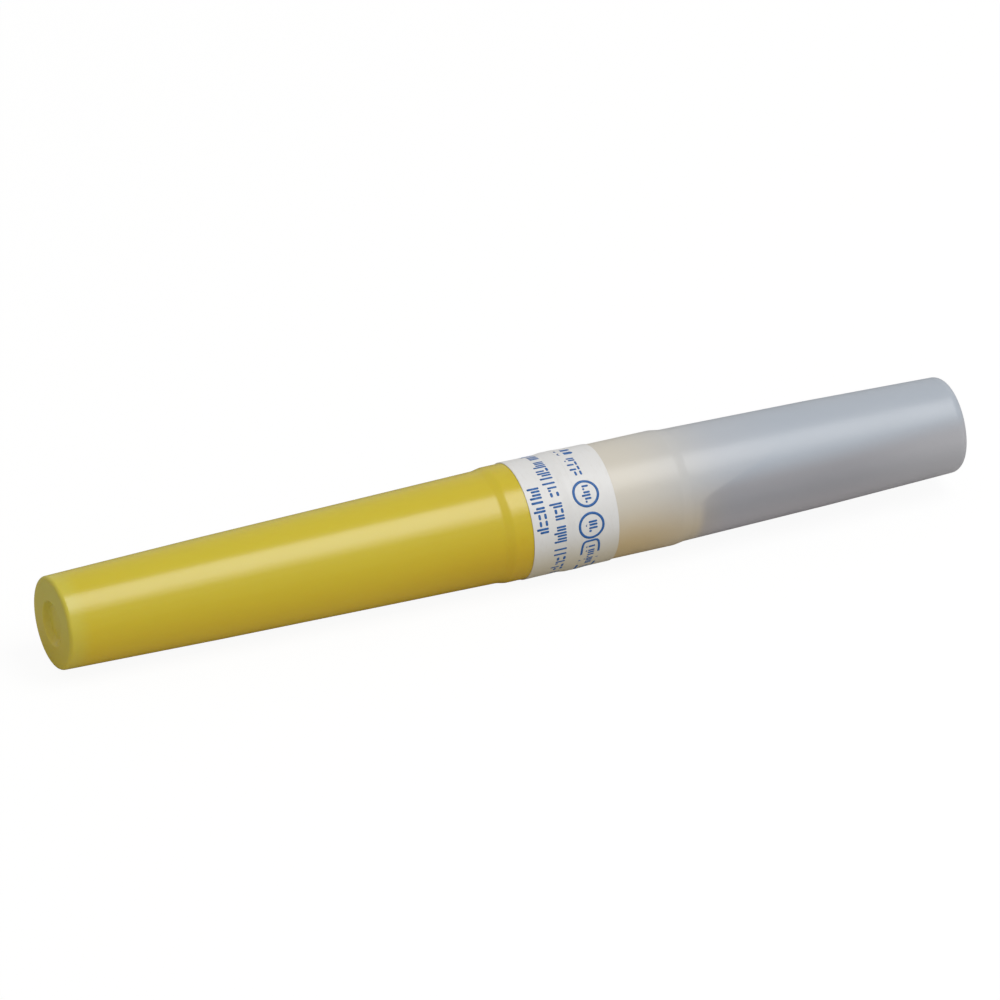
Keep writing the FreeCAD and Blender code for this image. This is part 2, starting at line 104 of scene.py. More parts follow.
@dataclass(frozen=True)
class NeedleAxis:
    """The line that every turned piece shares, with the two directions across it."""

    origin: np.ndarray
    along: np.ndarray
    up: np.ndarray
    side: np.ndarray

    @classmethod
    def from_record(cls, record: dict, mount: str, station: float) -> "NeedleAxis":
        """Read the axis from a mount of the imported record.

        Args:
            record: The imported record.
            mount: The name of a mount that lies on the axis.
            station: That mount's station in millimetres.

        Returns:
            The axis, whose origin is station 0.
        """
        found = next(entry for entry in record["mounts"] if entry["name"] == mount)
        along = np.array(found["axis"], float)
        along /= np.linalg.norm(along)
        side = np.array((0.0, -1.0, 0.0))
        up = np.cross(side, along)
        origin = np.array(found["pos_m"], float) - along * station * MILLIMETRE
        return cls(origin, along, up / np.linalg.norm(up), side)

    def place(self, station: np.ndarray, radius: np.ndarray, angle: np.ndarray) -> np.ndarray:
        """Give the points at a station, radius and angle.

        A point is the origin, plus the station along the axis, plus the radius times the mix of up and side
        by the angle's cosine and sine.

        Args:
            station: Stations in millimetres.
            radius: Radii in millimetres.
            angle: Angles in radians from the top towards the viewer's side.

        Returns:
            Points in metres, with the three coordinates last.
        """
        station, radius, angle = np.broadcast_arrays(station, radius, angle)
        across = np.cos(angle)[..., None] * self.up + np.sin(angle)[..., None] * self.side
        return self.origin + MILLIMETRE * (station[..., None] * self.along + radius[..., None] * across)


@dataclass(frozen=True)
class Corner:
    """A corner of an outline: its station, its radius and the size of its rounding, in millimetres."""

    station: float
    radius: float
    fillet: float = 0.0


# The widest step along an arc, the least turn that is rounded, the share of a leg that a rounding may take,
# and how far outside an arc the point that keeps its leg flat lies, in millimetres and as a share of the leg.
ARC_STEP = math.radians(9)
LEAST_TURN = 0.01
LEG_SHARE = 0.45
GUARD = 0.06
GUARD_SHARE = 0.3


def bend(before: np.ndarray, corner: np.ndarray, after: np.ndarray, fillet: float) -> np.ndarray:
    """Round one corner of an outline.

    The arc touches both legs at the fillet's radius times the tangent of half the turn from the corner. One
    more point lies on each leg just outside the arc, and keeps the leg's shading flat.

    Args:
        before: The outline's point before the corner.
        corner: The corner.
        after: The outline's point after it.
        fillet: The radius of the rounding, or 0 for a sharp corner.

    Returns:
        The points that take the corner's place.
    """
    lengths = np.linalg.norm((corner - before, after - corner), axis=1)
    into, out = (corner - before) / lengths[0], (after - corner) / lengths[1]
    turn = math.acos(float(np.clip(into @ out, -1, 1)))
    if fillet == 0 or turn < LEAST_TURN:
        return corner[None]
    reach = min(fillet * math.tan(turn / 2), LEG_SHARE * float(lengths.min()))
    centre = corner + (out - into) / np.linalg.norm(out - into) * reach / math.sin(turn / 2)
    first, last = corner - into * reach - centre, corner + out * reach - centre
    share = np.linspace(0, 1, max(3, math.ceil(turn / ARC_STEP) + 1))[:, None]
    arc = centre + (np.sin((1 - share) * turn) * first + np.sin(share * turn) * last) / math.sin(turn)
    guards = np.minimum(GUARD, GUARD_SHARE * (lengths - reach))
    return np.concatenate(([arc[0] - into * guards[0]], arc, [arc[-1] + out * guards[1]]))


def outline(corners: Sequence[Corner], spacing: float = 1.5) -> np.ndarray:
    """Draw an outline through its corners.

    Args:
        corners: The corners in order. The first and last are kept as they are.
        spacing: The longest step along it, in millimetres.

    Returns:
        Stations and radii, as rows of two.
    """
    path = np.array([(corner.station, corner.radius) for corner in corners])
    fillets = [corner.fillet for corner in corners[1:-1]]
    bends = [bend(*points) for points in zip(path[:-2], path[1:-1], path[2:], fillets)]
    points = np.concatenate([path[:1], *bends, path[-1:]])
    steps = np.maximum(1, np.ceil(np.linalg.norm(np.diff(points, axis=0), axis=1) / spacing)).astype(int)
    legs = [np.linspace(*ends, count, endpoint=False) for *ends, count in zip(points[:-1], points[1:], steps)]
    return np.concatenate([*legs, points[-1:]])


def whole_turn(count: int) -> np.ndarray:
    """Give the angles of a whole turn in that many steps, with the first one again at the end to close it."""
    return np.linspace(0, FULL_TURN, count + 1)


# How close in metres two points of a mesh have to lie to be one.
MERGED_WITHIN = 1e-7


def mesh_piece(
    name: str, grids: Sequence[np.ndarray], uvs: Sequence[np.ndarray], crease: float = 35
) -> bpy.types.Object:
    """Make one piece from grids of points.

    Each grid gives a quad for every cell between four neighbours. Points that coincide are then merged,
    which closes seams and poles, and all faces are turned outwards.

    Args:
        name: The piece's name.
        grids: Arrays of rows, columns and three coordinates, in metres.
        uvs: For each grid, an array of rows, columns and two map coordinates.
        crease: The angle in degrees above which an edge stays sharp.

    Returns:
        The piece, at the origin, with its place in its mesh.
    """
    points, maps, faces, start = [], [], [], 0
    for grid, uv in zip(grids, uvs):
        rows, columns = grid.shape[:2]
        index = start + np.arange(rows * columns).reshape(rows, columns)
        cells = np.stack((index[:-1, :-1], index[:-1, 1:], index[1:, 1:], index[1:, :-1]), axis=-1)
        points.append(grid.reshape(-1, 3))
        maps.append(uv.reshape(-1, 2))
        faces.append(cells.reshape(-1, 4))
        start += rows * columns
    points, maps, faces = (np.concatenate(parts) for parts in (points, maps, faces))
    mesh = bpy.data.meshes.new(name)
    mesh.from_pydata(points.tolist(), [], faces.tolist())
    layer = mesh.uv_layers.new(name="surface")
    layer.data.foreach_set("uv", maps[faces.ravel()].astype(np.float32).ravel())
    shape = bmesh.new()
    shape.from_mesh(mesh)
    bmesh.ops.remove_doubles(shape, verts=shape.verts, dist=MERGED_WITHIN)
    bmesh.ops.recalc_face_normals(shape, faces=shape.faces)
    shape.to_mesh(mesh)
    shape.free()
    mesh.shade_smooth()
    mesh.set_sharp_from_angle(angle=math.radians(crease))
    piece = bpy.data.objects.new(name, mesh)
    bpy.context.scene.collection.objects.link(piece)
    return piece


def turned_piece(name: str, axis: NeedleAxis, path: np.ndarray, count: int = 192) -> bpy.types.Object:
    """Turn an outline about the axis.

    The point at a row and column has the row's station and radius and the column's angle.

    Args:
        name: The piece's name.
        axis: The needle's axis.
        path: The outline, as rows of station and radius.
        count: The number of steps round.

    Returns:
        The piece, whose map holds the share of a turn and the station.
    """
    station, radius = path[:, :1], path[:, 1:]
    angle = whole_turn(count)[None, :]
    share = np.broadcast_arrays(angle / FULL_TURN, station)
    return mesh_piece(name, [axis.place(station, radius, angle)], [np.stack(share, axis=-1)])


def dress(
    piece: bpy.types.Object, material: bpy.types.Material, body: Body, slot: Slot | None, *nodes: str
) -> None:
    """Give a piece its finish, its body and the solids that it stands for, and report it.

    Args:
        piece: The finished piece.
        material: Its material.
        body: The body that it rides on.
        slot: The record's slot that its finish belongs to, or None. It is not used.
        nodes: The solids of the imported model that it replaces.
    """
    piece.data.materials.append(material)
    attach(piece, body.value)
    if nodes:
        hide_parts(*nodes)
    log.info("%s: %d faces, rides on %s", piece.name, len(piece.data.polygons), body.value)


# Shader maths


# What the operators of a wave take, and what a colour socket takes.
Value = "Wave | float"
Tone = Colour | bpy.types.NodeSocket


class Wave:
    """A number that changes over a surface. Its sums, differences and products add the Math nodes needed."""

    def __init__(self, shader: "Shader", socket: bpy.types.NodeSocket) -> None:
        """Wrap the socket that gives the number in a shader."""
        self.shader = shader
        self.socket = socket

    def _math(self, operation: str, *values: Value) -> "Wave":
        """Add one Math node for an operation on values."""
        node = self.shader.node("ShaderNodeMath", {"operation": operation}, dict(enumerate(values)))
        return Wave(self.shader, node.outputs[0])

    def __add__(self, other: Value) -> "Wave":
        """Add."""
        return self._math("ADD", self, other)

    def __radd__(self, other: float) -> "Wave":
        """Add to a plain number."""
        return self._math("ADD", other, self)

    def __sub__(self, other: Value) -> "Wave":
        """Subtract."""
        return self._math("SUBTRACT", self, other)

    def __rsub__(self, other: float) -> "Wave":
        """Subtract from a plain number."""
        return self._math("SUBTRACT", other, self)

    def __mul__(self, other: Value) -> "Wave":
        """Multiply."""
        return self._math("MULTIPLY", self, other)

    def __rmul__(self, other: float) -> "Wave":
        """Multiply a plain number."""
        return self._math("MULTIPLY", other, self)

    def smooth(self, low: float, high: float) -> "Wave":
        """Go smoothly from 0 at low to 1 at high, whichever of the two is greater.

        With t the share of the way between them, the rise is three times t squared less two times t cubed.

        Args:
            low: Where the result is 0.
            high: Where it is 1.

        Returns:
            The result, which stays 0 or 1 outside the two.
        """
        limits = {"Value": self, "From Min": min(low, high), "From Max": max(low, high)}
        node = self.shader.node("ShaderNodeMapRange", {"interpolation_type": "SMOOTHSTEP"}, limits)
        wave = Wave(self.shader, node.outputs["Result"])
        return 1 - wave if low > high else wave


class Shader:
    """One material and the few ways in which its nodes are made."""

    def __init__(self, name: str) -> None:
        """Start an empty material.

        Args:
            name: The material's name.
        """
        self.material = bpy.data.materials.new(name)
        self.material.use_nodes = True
        self.tree = self.material.node_tree
        self.tree.nodes.clear()

    def node(self, kind: str, settings: dict | None = None, inputs: dict | None = None) -> bpy.types.Node:
        """Add a node.

        Args:
            kind: The node's type.
            settings: Its settings, which are set first.
            inputs: Its sockets by name or number, each with a plain value, a Wave or another socket.

        Returns:
            The node.
        """
        made = self.tree.nodes.new(kind)
        for key, value in (settings or {}).items():
            setattr(made, key, value)
        for key, value in (inputs or {}).items():
            socket, source = made.inputs[key], value.socket if isinstance(value, Wave) else value
            if isinstance(source, bpy.types.NodeSocket):
                self.tree.links.new(source, socket)
            else:
                socket.default_value = (*source, 1.0) if socket.type == "RGBA" else source
        return made

    def place(self) -> bpy.types.NodeSocket:
        """The point on the piece, in metres."""
        return self.node("ShaderNodeTexCoord").outputs["Object"]

    def reach(self, direction: np.ndarray, start: np.ndarray) -> Wave:
        """Measure how far the point on the piece lies along a direction.

        It is the dot product of the point and the direction, less that of the start and the direction.

        Args:
            direction: The direction, of length 1.
            start: The point in metres that the distance is counted from.

        Returns:
            The distance in millimetres.
        """
        settings = {"operation": "DOT_PRODUCT"}
        dot = self.node("ShaderNodeVectorMath", settings, {0: self.place(), 1: tuple(direction / MILLIMETRE)})
        return Wave(self, dot.outputs["Value"]) - float(direction @ start) / MILLIMETRE

    def noise(
        self,
        size: float,
        detail: float = 2.0,
        stretch: tuple[float, float, float] = (1.0, 1.0, 1.0),
        seed: float = 0.0,
    ) -> Wave:
        """Cloudy noise from 0 to 1.

        Args:
            size: The width of one cloud in millimetres.
            detail: How many finer layers it has.
            stretch: How much the clouds are squeezed along each direction.
            seed: Which noise it is.

        Returns:
            The noise.
        """
        moved = self.node("ShaderNodeMapping", None, {"Vector": self.place(), "Scale": stretch}).outputs[0]
        inputs = {"Vector": moved, "Scale": 1 / (size * MILLIMETRE), "Detail": detail, "W": seed}
        return Wave(self, self.node("ShaderNodeTexNoise", {"noise_dimensions": "4D"}, inputs).outputs["Fac"])

    def blend(self, share: Wave, first: Tone, last: Tone) -> bpy.types.NodeSocket:
        """Mix two colours by a share from 0 to 1, by the colour sockets 6, 7 and 2 of a Mix node."""
        mix = self.node("ShaderNodeMix", {"data_type": "RGBA"}, {0: share, 6: first, 7: last})
        return mix.outputs[2]

    def bump(self, height: Wave, depth: float) -> bpy.types.NodeSocket:
        """Raise the surface by a height from 0 to 1 of that depth in millimetres."""
        inputs = {"Height": height, "Distance": depth * MILLIMETRE, "Strength": 1.0}
        return self.node("ShaderNodeBump", None, inputs).outputs[0]

    def principled(self, **inputs: object) -> bpy.types.NodeSocket:
        """Add the surface shader, with its sockets named in words joined by _."""
        named = {key.replace("_", " ").title().replace("Ior", "IOR"): value for key, value in inputs.items()}
        return self.node("ShaderNodeBsdfPrincipled", None, named).outputs[0]

    def close(self, surface: bpy.types.NodeSocket) -> bpy.types.Material:
        """Join a shader to the material's output and give the material."""
        self.node("ShaderNodeOutputMaterial", None, {"Surface": surface})
        return self.material


# Finishes


@dataclass(frozen=True)
class YellowPolymer:
    """The moulded yellow shield: a pigmented, slightly see-through plastic with a satin skin.

    The underside is a span of heights above the axis. The collar and the closed end are spans of stations.
    """

    colour: Colour = linear(203, 185, 42)
    # Painted light and shade: the underside's lighter colour, the deeper shade near the collar and the paler
    # closed end.
    painted_underside_shading: Colour = linear(222, 188, 40)
    deep: Colour = linear(204, 164, 22)
    pale: Colour = linear(204, 196, 84)
    underside: Span = (3.2, -3.0)
    collar: Span = (26.0, 47.0)
    closed_end: Span = (2.4, 0.5)
    roughness: float = 0.25

    def material(self, axis: NeedleAxis) -> bpy.types.Material:
        """Make the material.

        The underside is painted lighter and warmer, a painted glow that stands in for light passing through
        the wall.
        Towards the collar the colour is painted deeper, more on the underside: painted shade, with the hub's
        colour painted as if seen through the wall. The closed end is painted paler, a painted glow for light
        scattered in its heavier end wall.

        Args:
            axis: The needle's axis.

        Returns:
            The material.
        """
        shader = Shader("yellow_polymer")
        station, height = shader.reach(axis.along, axis.origin), shader.reach(axis.up, axis.origin)
        cloud = shader.noise(7.0, 3.0)
        # Painted light: the underside is painted lighter and warmer, for light through the wall.
        low = height.smooth(*self.underside)
        tone = shader.blend(low * 0.9 + cloud * 0.1, self.colour, self.painted_underside_shading)
        # Painted shade towards the collar, stronger on the underside, with the hub painted as if seen through
        # the wall.
        tone = shader.blend(station.smooth(*self.collar) * (low * 0.55 + 0.15), tone, self.deep)
        # Painted glow of light scattered in the closed end's wall, which makes it paler.
        tone = shader.blend(station.smooth(*self.closed_end) * 0.45, tone, self.pale)
        grain = shader.noise(0.35, 4.0, seed=2.0)
        skin = shader.principled(
            base_color=tone,
            roughness=self.roughness + (cloud - 0.5) * 0.08 + (grain - 0.5) * 0.04,
            subsurface_weight=0.3,
            subsurface_radius=(1.0, 0.75, 0.12),
            subsurface_scale=0.8 * MILLIMETRE,
            ior=1.5,
            normal=shader.bump(grain, 0.004),
        )
        return shader.close(skin)


@dataclass(frozen=True)
class MilkyPolymer:
    """The moulded rear shield: unpigmented milky plastic, with the hub's light and colour from behind the
    wall painted on.

    The crown, the underside, the lit side, the heights of the painted end light and the climb are spans of
    heights above the axis. The others are spans of stations. The lean is how far the edge of the painted hub
    light runs back where it climbs.
    """

    colour: Colour = linear(172, 179, 188)
    # Painted shade and light: the flank's shade, the lighter underside, the hub's light and tint seen through
    # the wall and the lighter end are all painted.
    flank: Colour = linear(160, 160, 165)
    painted_underside_shading: Colour = linear(182, 179, 183)
    lit: Colour = linear(184, 186, 190)
    lit_under: Colour = linear(206, 196, 178)
    painted_hub_tint: Colour = linear(206, 200, 187)
    painted_hub_tint_underside: Colour = linear(204, 180, 132)
    painted_end_light: Colour = linear(188, 188, 192)
    crown: Span = (2.9, 1.0)
    underside: Span = (-0.2, -3.2)
    lit_side: Span = (2.6, -2.8)
    end_light_heights: Span = (3.0, 0.5)
    end_light_stations: Span = (74.0, 88.0)
    hub_end: Span = (61.9, 60.8)
    hub_fade: Span = (72.0, 60.0)
    climb: Span = (0.4, 4.4)
    lean: float = 9.0
    hub_tint_stations: Span = (65.0, 53.5)
    roughness: float = 0.34

    def material(self, axis: NeedleAxis) -> bpy.types.Material:
        """Make the material.

        The colour is painted with light and shade: a bluish crown, a painted shade on the flank and a painted
        lighter underside. Light from the hub behind the wall is painted on up to just behind the collar, with
        an edge that runs back along the needle where it climbs the flank. Nearer to the seal the hub's colour
        is painted on as a see-through tint, deeper on the underside. Towards the closed end the lower flank
        is painted lighter.

        Args:
            axis: The needle's axis.

        Returns:
            The material.
        """
        shader = Shader("milky_polymer")
        station, height = shader.reach(axis.along, axis.origin), shader.reach(axis.up, axis.origin)
        cloud = shader.noise(6.0, 3.0, seed=5.0)
        # How far down the flank a point lies, which shades the painted hub light and tint.
        low = height.smooth(*self.lit_side)
        # Painted light from the hub behind the wall, up to just behind the collar.
        backed = (station - height.smooth(*self.climb) * self.lean).smooth(*self.hub_end)
        lit = backed * (low * 0.35 + 0.65) * station.smooth(*self.hub_fade)
        # Painted light: the lower flank lighter towards the closed end.
        painted_end_light = station.smooth(*self.end_light_stations) * height.smooth(*self.end_light_heights) * 0.75
        # Painted see-through tint of the hub near the seal.
        hub_tint_share = station.smooth(*self.hub_tint_stations)
        # Painted shade on the flank and painted light on the underside.
        tone = shader.blend(height.smooth(*self.crown), self.colour, self.flank)
        tone = shader.blend(height.smooth(*self.underside), tone, self.painted_underside_shading)
        tone = shader.blend(painted_end_light, tone, self.painted_end_light)
        tone = shader.blend(lit, tone, shader.blend(low, self.lit, self.lit_under))
        tone = shader.blend(hub_tint_share, tone, shader.blend(low, self.painted_hub_tint, self.painted_hub_tint_underside))
        grain = shader.noise(0.35, 4.0, seed=6.0)
        skin = shader.principled(
            base_color=tone,
            roughness=self.roughness + (cloud - 0.5) * 0.1,
            subsurface_weight=0.3,
            subsurface_radius=(1.0, 1.0, 1.0),
            subsurface_scale=0.8 * MILLIMETRE,
            ior=1.49,
            normal=shader.bump(grain, 0.003),
        )
        return shader.close(skin)


@dataclass(frozen=True)
class SealPaper:
    """The label stock: coated paper with faint fibres."""

    colour: Colour = linear(224, 223, 221)
    fibre: Colour = linear(212, 208, 202)
    # Painted shade of the underside.
    painted_underside_shading: Colour = linear(206, 196, 172)
    underside: Span = (1.0, -3.5)
    roughness: float = 0.5

    def material(self, axis: NeedleAxis) -> bpy.types.Material:
        """Make the material, whose fibres lie mostly round the needle, with a painted shade that makes the
        underside darker and warmer.

        Args:
            axis: The needle's axis.

        Returns:
            The material.
        """
        shader = Shader("seal_paper")
        fibre = shader.noise(0.28, 5.0, (1.0, 0.4, 0.4), seed=9.0)
        cloud = shader.noise(1.6, 2.0, seed=11.0)
        tone = shader.blend(fibre.smooth(0.5, 0.85) * 0.5 + cloud * 0.15, self.colour, self.fibre)
        # Painted shade: the underside darker and warmer.
        height = shader.reach(axis.up, axis.origin)
        skin = shader.principled(
            base_color=shader.blend(height.smooth(*self.underside), tone, self.painted_underside_shading),
            roughness=self.roughness + (fibre - 0.5) * 0.2,
            subsurface_weight=0.1,
            subsurface_radius=(1.0, 0.9, 0.8),
            subsurface_scale=0.3 * MILLIMETRE,
            normal=shader.bump(fibre * 0.7 + cloud * 0.3, 0.004),
        )
        return shader.close(skin)


@dataclass(frozen=True)
class PrintInk:
    """Blue printing ink."""

    colour: Colour = linear(30, 92, 160)
    thin: Colour = linear(70, 128, 186)

    def material(self) -> bpy.types.Material:
        """Make the material, a little mottled where the ink lies thin on the paper.

        Returns:
            The material.
        """
        shader = Shader("blue_ink")
        mottle = shader.noise(0.12, 3.0, seed=14.0)
        skin = shader.principled(
            base_color=shader.blend(mottle.smooth(0.45, 0.75) * 0.6, self.colour, self.thin),
            roughness=0.5,
        )
        return shader.close(skin)


@dataclass(frozen=True)
class HubPolymer:
    """The hub's yellow plastic."""

    colour: Colour = linear(214, 180, 60)
    roughness: float = 0.34

    def material(self) -> bpy.types.Material:
        """Make the material.

        Returns:
            The material.
        """
        shader = Shader("hub_polymer")
        grain = shader.noise(0.4, 3.0, seed=20.0)
        cloud = shader.noise(3.0, 2.0, seed=21.0)
        deep = tuple(0.86 * value for value in self.colour)
        skin = shader.principled(
            base_color=shader.blend(cloud, self.colour, deep),
            roughness=self.roughness + (grain - 0.5) * 0.1,
            subsurface_weight=0.4,
            subsurface_radius=(1.0, 0.75, 0.2),
            subsurface_scale=1.2 * MILLIMETRE,
            ior=1.5,
            normal=shader.bump(grain, 0.004),
        )
        return shader.close(skin)


@dataclass(frozen=True)
class GroundSteel:
    """Drawn stainless tube: bright, with fine drawing lines along it."""

    colour: Colour = linear(196, 197, 199)
    roughness: float = 0.2

    def material(self) -> bpy.types.Material:
        """Make the material.

        Returns:
            The material.
        """
        shader = Shader("ground_steel")
        lines = shader.noise(0.05, 2.0, (0.02, 1.0, 1.0), seed=30.0)
        skin = shader.principled(
            base_color=self.colour,
            metallic=1.0,
            roughness=self.roughness + (lines - 0.5) * 0.14,
            normal=shader.bump(lines, 0.0015),
        )
        return shader.close(skin)


@dataclass(frozen=True)
class CuredResin:
    """The clear amber resin in the hub's well."""

    colour: Colour = linear(226, 206, 150)

    def material(self) -> bpy.types.Material:
        """Make the material.

        Returns:
            The material.
        """
        shader = Shader("cured_resin")
        swirl = shader.noise(0.5, 2.0, seed=35.0)
        skin = shader.principled(
            base_color=self.colour, roughness=0.08 + swirl * 0.08, transmission_weight=0.6, ior=1.53
        )
        return shader.close(skin)


@dataclass(frozen=True)
class SleeveRubber:
    """The dusted elastomer of the sleeve."""

    colour: Colour = linear(206, 198, 178)
    dust: Colour = linear(222, 217, 204)

    def material(self) -> bpy.types.Material:
        """Make the material, with a faint bloom of dusting powder.

        Returns:
            The material.
        """
        shader = Shader("sleeve_rubber")
        bloom = shader.noise(0.9, 4.0, seed=40.0)
        grain = shader.noise(0.12, 3.0, seed=41.0)
        skin = shader.principled(
            base_color=shader.blend(bloom.smooth(0.25, 0.8) * 0.5, self.colour, self.dust),
            roughness=0.62 + (bloom - 0.5) * 0.2,
            subsurface_weight=0.3,
            subsurface_radius=(1.0, 0.9, 0.7),
            subsurface_scale=0.8 * MILLIMETRE,
            normal=shader.bump(grain, 0.01),
        )
        return shader.close(skin)


# The case


# Roundings in millimetres: edges inside a shield, edges and rim of its mouth, and the bend at its waist.
INNER_EDGE = 0.03
MOUTH_EDGE = 0.05
MOUTH_RIM = 0.08
WAIST_BEND = 60.0


@dataclass(frozen=True)
class Joint:
    """The stations and radii where the two shields, the hub and the seal meet, in millimetres."""

    front_step: float = 42.1
    front_label: float = 44.7
    front_mouth: float = 48.7
    tear_line: float = 49.3
    rear_mouth: float = 49.9
    rear_label: float = 53.0
    rear_step: float = 60.1
    collar_mount: float = 56.575
    collar_radius: float = 5.3
    front_mouth_radius: float = 5.25
    rear_mouth_radius: float = 5.31
    grip_radius: float = 4.1
    chamfer: float = 0.3


@dataclass(frozen=True)
class FrontShield:
    """The long yellow shield, closed at station 0, with a short collar at its mouth.

    The collar's skin rises over the collar rise, and both of its bends have the collar bend's radius.
    """

    joint: Joint
    end_radius: float = 4.285
    waist_station: float = 15.5
    waist_radius: float = 4.665
    step_radius: float = 5.135
    wall: float = 1.15
    end_wall: float = 1.4
    recess_radius: float = 2.1
    recess_depth: float = 0.5
    recess_floor_bend: float = 0.3
    recess_edge: float = 0.25
    end_round: float = 0.35
    floor_round: float = 0.6
    collar_rise: float = 0.85
    collar_bend: float = 1.4

    def corners(self) -> list[Corner]:
        """Draw the outline.

        Returns:
            Its corners, from the middle of the outer end, over the mouth, to the middle of the inner end.
        """
        joint, dish = self.joint, self.recess_radius - self.recess_depth
        return [
            Corner(self.recess_depth, 0.0),
            Corner(self.recess_depth, dish, self.recess_floor_bend),
            Corner(0.0, self.recess_radius, self.recess_edge),
            Corner(0.0, self.end_radius, self.end_round),
            Corner(self.waist_station, self.waist_radius, WAIST_BEND),
            Corner(joint.front_step, self.step_radius, self.collar_bend),
            Corner(joint.front_step + self.collar_rise, joint.collar_radius, self.collar_bend),
            Corner(joint.front_label, joint.collar_radius),
            Corner(joint.front_mouth, joint.front_mouth_radius, MOUTH_RIM),
            Corner(joint.front_mouth, joint.grip_radius + joint.chamfer, MOUTH_EDGE),
            Corner(joint.front_mouth - joint.chamfer, joint.grip_radius, MOUTH_EDGE),
            Corner(joint.front_step, joint.grip_radius, INNER_EDGE),
            Corner(joint.front_step, self.step_radius - self.wall, INNER_EDGE),
            Corner(self.end_wall, self.end_radius - self.wall, self.floor_round),
            Corner(self.end_wall, 0.0),
        ]

    def build(self, axis: NeedleAxis) -> bpy.types.Object:
        """Make the shield.

        Args:
            axis: The needle's axis.

        Returns:
            The shield.
        """
        piece = turned_piece("yellow_front_shield", axis, outline(self.corners()))
        dress(piece, YellowPolymer().material(axis), Body.FRONT_CASE, Slot.YELLOW_CASE, "front_shield")
        return piece


@dataclass(frozen=True)
class RearShield:
    """The short milky shield, closed at its far end, with a long collar at its mouth.

    The collar's skin falls from the collar lead before the step to the collar tail behind it.
    """

    joint: Joint
    end_station: float = 88.0
    end_radius: float = 4.37
    step_radius: float = 5.12
    waist_station: float = 75.0
    waist_radius: float = 4.8
    collar_radius: float = 5.275
    flare: float = 3.4
    wall: float = 1.15
    end_wall: float = 1.4
    recess_radius: float = 1.3
    recess_depth: float = 0.3
    recess_floor_bend: float = 0.2
    recess_edge: float = 0.12
    end_round: float = 0.9
    floor_round: float = 0.6
    collar_lead: float = 0.7
    collar_tail: float = 0.3
    collar_bend: float = 1.6
    flare_bend: float = 5.0

    def corners(self) -> list[Corner]:
        """Draw the outline.

        Returns:
            Its corners, from the middle of the inner end, over the mouth, to the middle of the outer end.
        """
        joint, dish = self.joint, self.recess_radius - self.recess_depth
        floor = self.end_station - self.end_wall
        return [
            Corner(floor, 0.0),
            Corner(floor, self.end_radius - self.wall, self.floor_round),
            Corner(joint.rear_step, self.step_radius - self.wall, INNER_EDGE),
            Corner(joint.rear_step, joint.grip_radius, INNER_EDGE),
            Corner(joint.rear_mouth + joint.chamfer, joint.grip_radius, MOUTH_EDGE),
            Corner(joint.rear_mouth, joint.grip_radius + joint.chamfer, MOUTH_EDGE),
            Corner(joint.rear_mouth, joint.rear_mouth_radius, MOUTH_RIM),
            Corner(joint.rear_mouth + self.flare, self.collar_radius, self.flare_bend),
            Corner(joint.rear_step - self.collar_lead, self.collar_radius, self.collar_bend),
            Corner(joint.rear_step + self.collar_tail, self.step_radius, self.collar_bend),
            Corner(self.waist_station, self.waist_radius, WAIST_BEND),
            Corner(self.end_station, self.end_radius, self.end_round),
            Corner(self.end_station, self.recess_radius, self.recess_edge),
            Corner(self.end_station - self.recess_depth, dish, self.recess_floor_bend),
            Corner(self.end_station - self.recess_depth, 0.0),
        ]

    def build(self, axis: NeedleAxis) -> bpy.types.Object:
        """Make the shield.

        Args:
            axis: The needle's axis.

        Returns:
            The shield.
        """
        piece = turned_piece("milky_rear_shield", axis, outline(self.corners()))
        dress(piece, MilkyPolymer().material(axis), Body.REAR_CASE, Slot.MILKY_CASE, "rear_shield")
        return piece


# The needle


